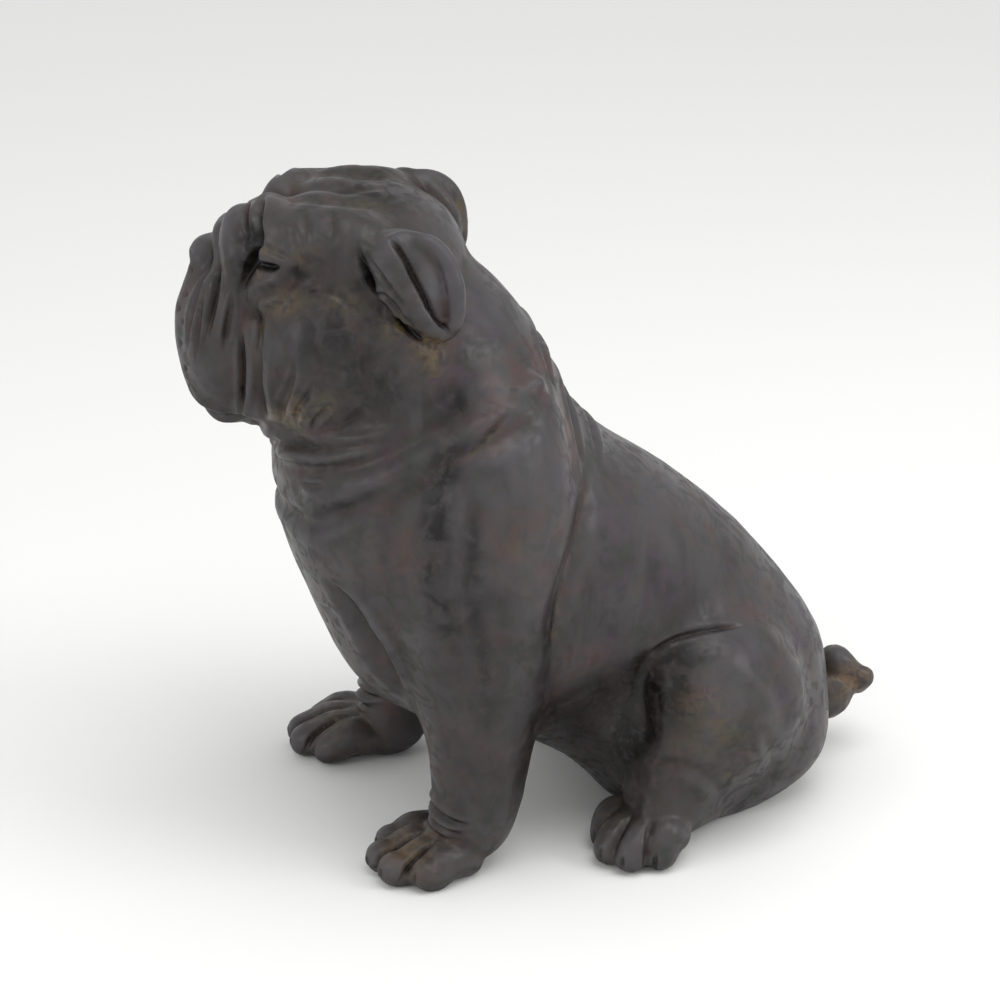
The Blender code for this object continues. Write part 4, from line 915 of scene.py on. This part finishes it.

# Polyester resin with stone powder, cast in a rubber mould, washed with dark glaze and wiped back, then
# waxed: a dull, stony body that is smooth to the touch, greyed on what a hand reaches, brown and ochre
# where the glaze stayed in the folds. Light and shade are painted into the colour too: paler tops, ridges and
# edges as painted highlight, near-black undersides, recesses and deep hollows as painted shade.
resin = {
    "stone": "#3f3c3d",
    "stoneDark": "#262322",
    "plum": "#3d303a",
    "moss": "#2f362d",
    "rose": "#4a3834",
    # dark brown for patina and for painted shade under the body
    "umberAndShade": "#302620",
    # pale blue-grey: painted highlight on tops and ridges, and the pale flakes in the glaze
    "bloomAndHighlight": "#4a484b",
    # pale grey for hand wear and for painted highlights
    "wornAndHighlight": "#575559",
    # near black: glaze, and painted shade underneath and in hollows
    "glazeAndShade": "#0e0a09",
    "ochre": "#544a35",
    "sienna": "#786049",
    # red-brown for painted shade in the hollows, partly glaze left in the folds
    "rustAndShade": "#33201a",
    "roughness": (0.36, 0.60),
    "blotchMm": 34.0,
    "smearMm": 11.0,
    # the real grain is about 0.2 mm: specks and grain are drawn coarser, to show
    "speckMm": 2.6,
    "grainMm": 1.3,
    "grainBump": (0.25, 0.00012),   # strength, and depth in metres
    "dentMm": 9.0,
    "dentBump": (0.25, 0.0005),
}


def castResin():
    material = bpy.data.materials.new("castWaxedResin")
    material.use_nodes = True
    tree = material.node_tree
    tree.nodes.clear()
    place = addNode(tree, "ShaderNodeTexCoord").outputs["Object"]

    def rising(amount, start, full):
        # from 0 to 1 as the amount goes from the one level to the other
        return addNode(tree, "ShaderNodeMapRange", {"interpolation_type": "SMOOTHSTEP"},
                       {"From Min": start, "From Max": full}, {"Value": amount}).outputs[0]

    def cloud(millimetres, detail, low, high, distortion=0.0, stretch=None):
        # soft blotches of a real size, from 0 to 1 between two levels of the noise
        source = place
        if stretch:
            source = addNode(tree, "ShaderNodeMapping", values={"Scale": stretch},
                             links={"Vector": place}).outputs[0]
        blotch = addNode(tree, "ShaderNodeTexNoise",
                         values={"Scale": 1000 / millimetres, "Detail": detail, "Distortion": distortion},
                         links={"Vector": source}).outputs["Fac"]
        return rising(blotch, low, high)

    def times(first, second, gain=1.0):
        both = addNode(tree, "ShaderNodeMath", {"operation": "MULTIPLY"}, links={0: first, 1: second}).outputs[0]
        return addNode(tree, "ShaderNodeMath", {"operation": "MULTIPLY", "use_clamp": True},
                       {1: gain}, {0: both}).outputs[0]

    def over(under, colour, amount):
        return addNode(tree, "ShaderNodeMix", {"data_type": "RGBA"}, {7: linear(colour)},
                       {0: amount, 6: under}).outputs[2]

    hollow, ridge, ochre, sienna, umberAndShade, glazeAndShade, rubAndHighlight = [
        addNode(tree, "ShaderNodeAttribute", {"attribute_name": name}).outputs["Fac"]
        for name in ("hollow", "ridge", "ochre", "sienna", "umberAndShade", "glazeAndShade", "rubAndHighlight")]
    blotches = cloud(resin["blotchMm"], 3, 0.38, 0.66, 0.6)
    patches = cloud(resin["blotchMm"] * 0.62, 4, 0.44, 0.66, 0.9)
    smears = cloud(resin["smearMm"], 5, 0.42, 0.66, 1.2)
    drips = cloud(resin["blotchMm"] * 0.6, 5, 0.40, 0.68, 0.5, (1.0, 1.0, 0.32))
    specks = cloud(resin["speckMm"], 4, 0.5, 0.72)
    tint = addNode(tree, "ShaderNodeMix", {"data_type": "RGBA"},
                   {6: linear(resin["stone"]), 7: linear(resin["stoneDark"])}, {0: drips}).outputs[2]
    tint = over(tint, resin["moss"], times(blotches, smears, 1.0))
    tint = over(tint, resin["plum"], times(patches, drips, 1.2))
    tint = over(tint, resin["rose"], times(cloud(resin["blotchMm"] * 0.42, 5, 0.42, 0.64, 0.7),
                                           cloud(resin["blotchMm"] * 1.3, 3, 0.4, 0.6), 0.9))
    up = addNode(tree, "ShaderNodeSeparateXYZ", links={
        0: addNode(tree, "ShaderNodeNewGeometry").outputs["Normal"]}).outputs[2]
    # painted light from above: surfaces facing up turn paler blue-grey, partly dust and bloom settled on top,
    # partly painted sky highlight
    tint = over(tint, resin["bloomAndHighlight"], times(rising(up, -0.1, 0.9), cloud(resin["blotchMm"] * 1.7, 4, 0.3, 0.7, 0.5), 0.6))
    # brown umber mottled with moss and rose: partly patina, partly painted shade under the body
    tint = over(tint, resin["umberAndShade"], times(umberAndShade, cloud(resin["blotchMm"] * 0.8, 5, 0.3, 0.58, 0.8), 1.0))
    tint = over(tint, resin["moss"], times(umberAndShade, cloud(resin["smearMm"] * 1.3, 5, 0.46, 0.62, 0.9), 0.8))
    tint = over(tint, resin["rose"], times(umberAndShade, cloud(resin["smearMm"] * 0.9, 5, 0.5, 0.64, 0.9), 0.9))
    # painted highlight along ridges and raised edges, partly also glaze wiped back from them
    tint = over(tint, resin["bloomAndHighlight"], times(ridge, cloud(resin["smearMm"] * 2, 4, 0.25, 0.6), 0.8))
    # pale grey for hand wear and for painted highlights
    tint = over(tint, resin["wornAndHighlight"], times(rubAndHighlight, cloud(resin["smearMm"] * 1.6, 4, 0.3, 0.62), 0.9))
    # painted shade in creases and hollows in red-brown, partly glaze left in the folds
    tint = over(tint, resin["rustAndShade"], times(hollow, cloud(resin["smearMm"] * 1.4, 4, 0.36, 0.62), 0.7))
    # painted shade: surfaces facing down darken towards near black, as under the belly and the jaw
    tint = over(tint, resin["glazeAndShade"], times(rising(up, 0.2, -0.65),
                                            cloud(resin["smearMm"] * 2.4, 4, 0.2, 0.6), 0.85))
    patchy = addNode(tree, "ShaderNodeMapRange", values={"To Min": 0.55, "To Max": 1.6},
                     links={"Value": cloud(resin["smearMm"] * 1.1, 5, 0.34, 0.62, 0.6)}).outputs[0]
    # dark glaze and painted shade from the glaze spots and runs, made patchy
    tint = over(tint, resin["glazeAndShade"], times(glazeAndShade, patchy))
    flakes = times(cloud(resin["smearMm"] * 0.28, 5, 0.5, 0.62, 0.5), cloud(resin["smearMm"], 3, 0.42, 0.6))
    tint = over(tint, resin["bloomAndHighlight"], times(glazeAndShade, flakes, 0.3))
    tint = over(tint, resin["ochre"], times(ochre, cloud(resin["smearMm"] * 0.7, 5, 0.36, 0.6, 0.8), 1.2))
    tint = over(tint, resin["sienna"], times(sienna, cloud(resin["smearMm"] * 0.5, 5, 0.34, 0.6, 1.0), 1.3))
    tint = over(tint, resin["ochre"], times(times(hollow, smears), specks, 0.5))
    # painted shade: the deepest hollows go near black, partly glaze left in them
    tint = over(tint, resin["glazeAndShade"], rising(hollow, 0.6, 1.7))
    dull = addNode(tree, "ShaderNodeMapRange", values={
        "To Min": resin["roughness"][0], "To Max": resin["roughness"][1]}, links={"Value": smears}).outputs[0]
    grain = addNode(tree, "ShaderNodeTexNoise", values={"Scale": 1000 / resin["grainMm"], "Detail": 3},
                    links={"Vector": place}).outputs["Fac"]
    dents = addNode(tree, "ShaderNodeTexNoise",
                    values={"Scale": 1000 / resin["dentMm"], "Detail": 3, "Roughness": 0.55},
                    links={"Vector": place}).outputs["Fac"]
    strength, depth = resin["grainBump"]
    grained = addNode(tree, "ShaderNodeBump", values={"Strength": strength, "Distance": depth},
                      links={"Height": grain}).outputs[0]
    strength, depth = resin["dentBump"]
    dented = addNode(tree, "ShaderNodeBump", values={"Strength": strength, "Distance": depth},
                     links={"Height": dents, "Normal": grained}).outputs[0]
    shader = addNode(tree, "ShaderNodeBsdfPrincipled",
                     values={"IOR": 1.5, "Specular IOR Level": 0.35},
                     links={"Base Color": tint, "Roughness": dull, "Normal": dented})
    addNode(tree, "ShaderNodeOutputMaterial", links={"Surface": shader.outputs[0]})
    return material


bulldog.data.materials.clear()
bulldog.data.materials.append(castResin())
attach(bulldog, "root")
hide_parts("bulldog")
print("resin mixed")

studio = {
    "floor": "#fbfbfa",
    "floorReach": 6.0,
    "sky": "#ffffff",
    "skyStrength": 0.72,
    "azimuth": 73.0,
    "elevation": 23.5,
    "distance": 1.446,
    "lens": 100.0,
    "target": (0.0, -0.02707, 0.1736),
    "aim": (0.0, 0.0, 0.18),
    # place, size and watts of the panels, which face the aim
    "lights": {
        "topPanel": ((0.35, 0.15, 1.5), 1.0, 7.5),
        "frontPanel": ((0.5, -1.6, 0.9), 0.8, 4.0),
        "backPanel": ((0.9, 1.3, 1.1), 0.8, 7.0),
    },
}


def setStudio():
    scene = bpy.context.scene
    floorMesh = bpy.data.meshes.new("studioFloor")
    reach = studio["floorReach"]
    floorMesh.from_pydata([(-reach, -reach, 0), (reach, -reach, 0), (reach, reach, 0), (-reach, reach, 0)],
                          [], [(0, 1, 2, 3)])
    floor = bpy.data.objects.new("studioFloor", floorMesh)
    scene.collection.objects.link(floor)
    paper = bpy.data.materials.new("mattePaper")
    paper.use_nodes = True
    paper.node_tree.nodes.clear()
    surface = addNode(paper.node_tree, "ShaderNodeBsdfPrincipled",
                      values={"Base Color": linear(studio["floor"]), "Roughness": 0.9})
    addNode(paper.node_tree, "ShaderNodeOutputMaterial", links={"Surface": surface.outputs[0]})
    floorMesh.materials.append(paper)
    world = bpy.data.worlds.new("studioAir")
    world.use_nodes = True
    air = world.node_tree.nodes["Background"]
    air.inputs["Color"].default_value = linear(studio["sky"])
    air.inputs["Strength"].default_value = studio["skyStrength"]
    scene.world = world
    for name, (place, size, watts) in studio["lights"].items():
        lamp = bpy.data.lights.new(name, "AREA")
        lamp.energy = watts
        lamp.size = size
        panel = bpy.data.objects.new(name, lamp)
        panel.location = place
        panel.rotation_euler = (Vector(studio["aim"]) - Vector(place)).to_track_quat("-Z", "Y").to_euler()
        scene.collection.objects.link(panel)
    azimuth, elevation = math.radians(studio["azimuth"]), math.radians(studio["elevation"])
    back = Vector((math.sin(azimuth) * math.cos(elevation), -math.cos(azimuth) * math.cos(elevation),
                   math.sin(elevation)))
    lens = bpy.data.cameras.new("studioCamera")
    lens.lens = studio["lens"]
    lens.sensor_width = 36.0
    lens.clip_start = 0.01
    camera = bpy.data.objects.new("studioCamera", lens)
    camera.location = Vector(studio["target"]) + back * studio["distance"]
    camera.rotation_euler = (-back).to_track_quat("-Z", "Y").to_euler()
    scene.collection.objects.link(camera)
    scene.camera = camera
    scene.view_settings.view_transform = "Standard"


setStudio()
print("studio set")
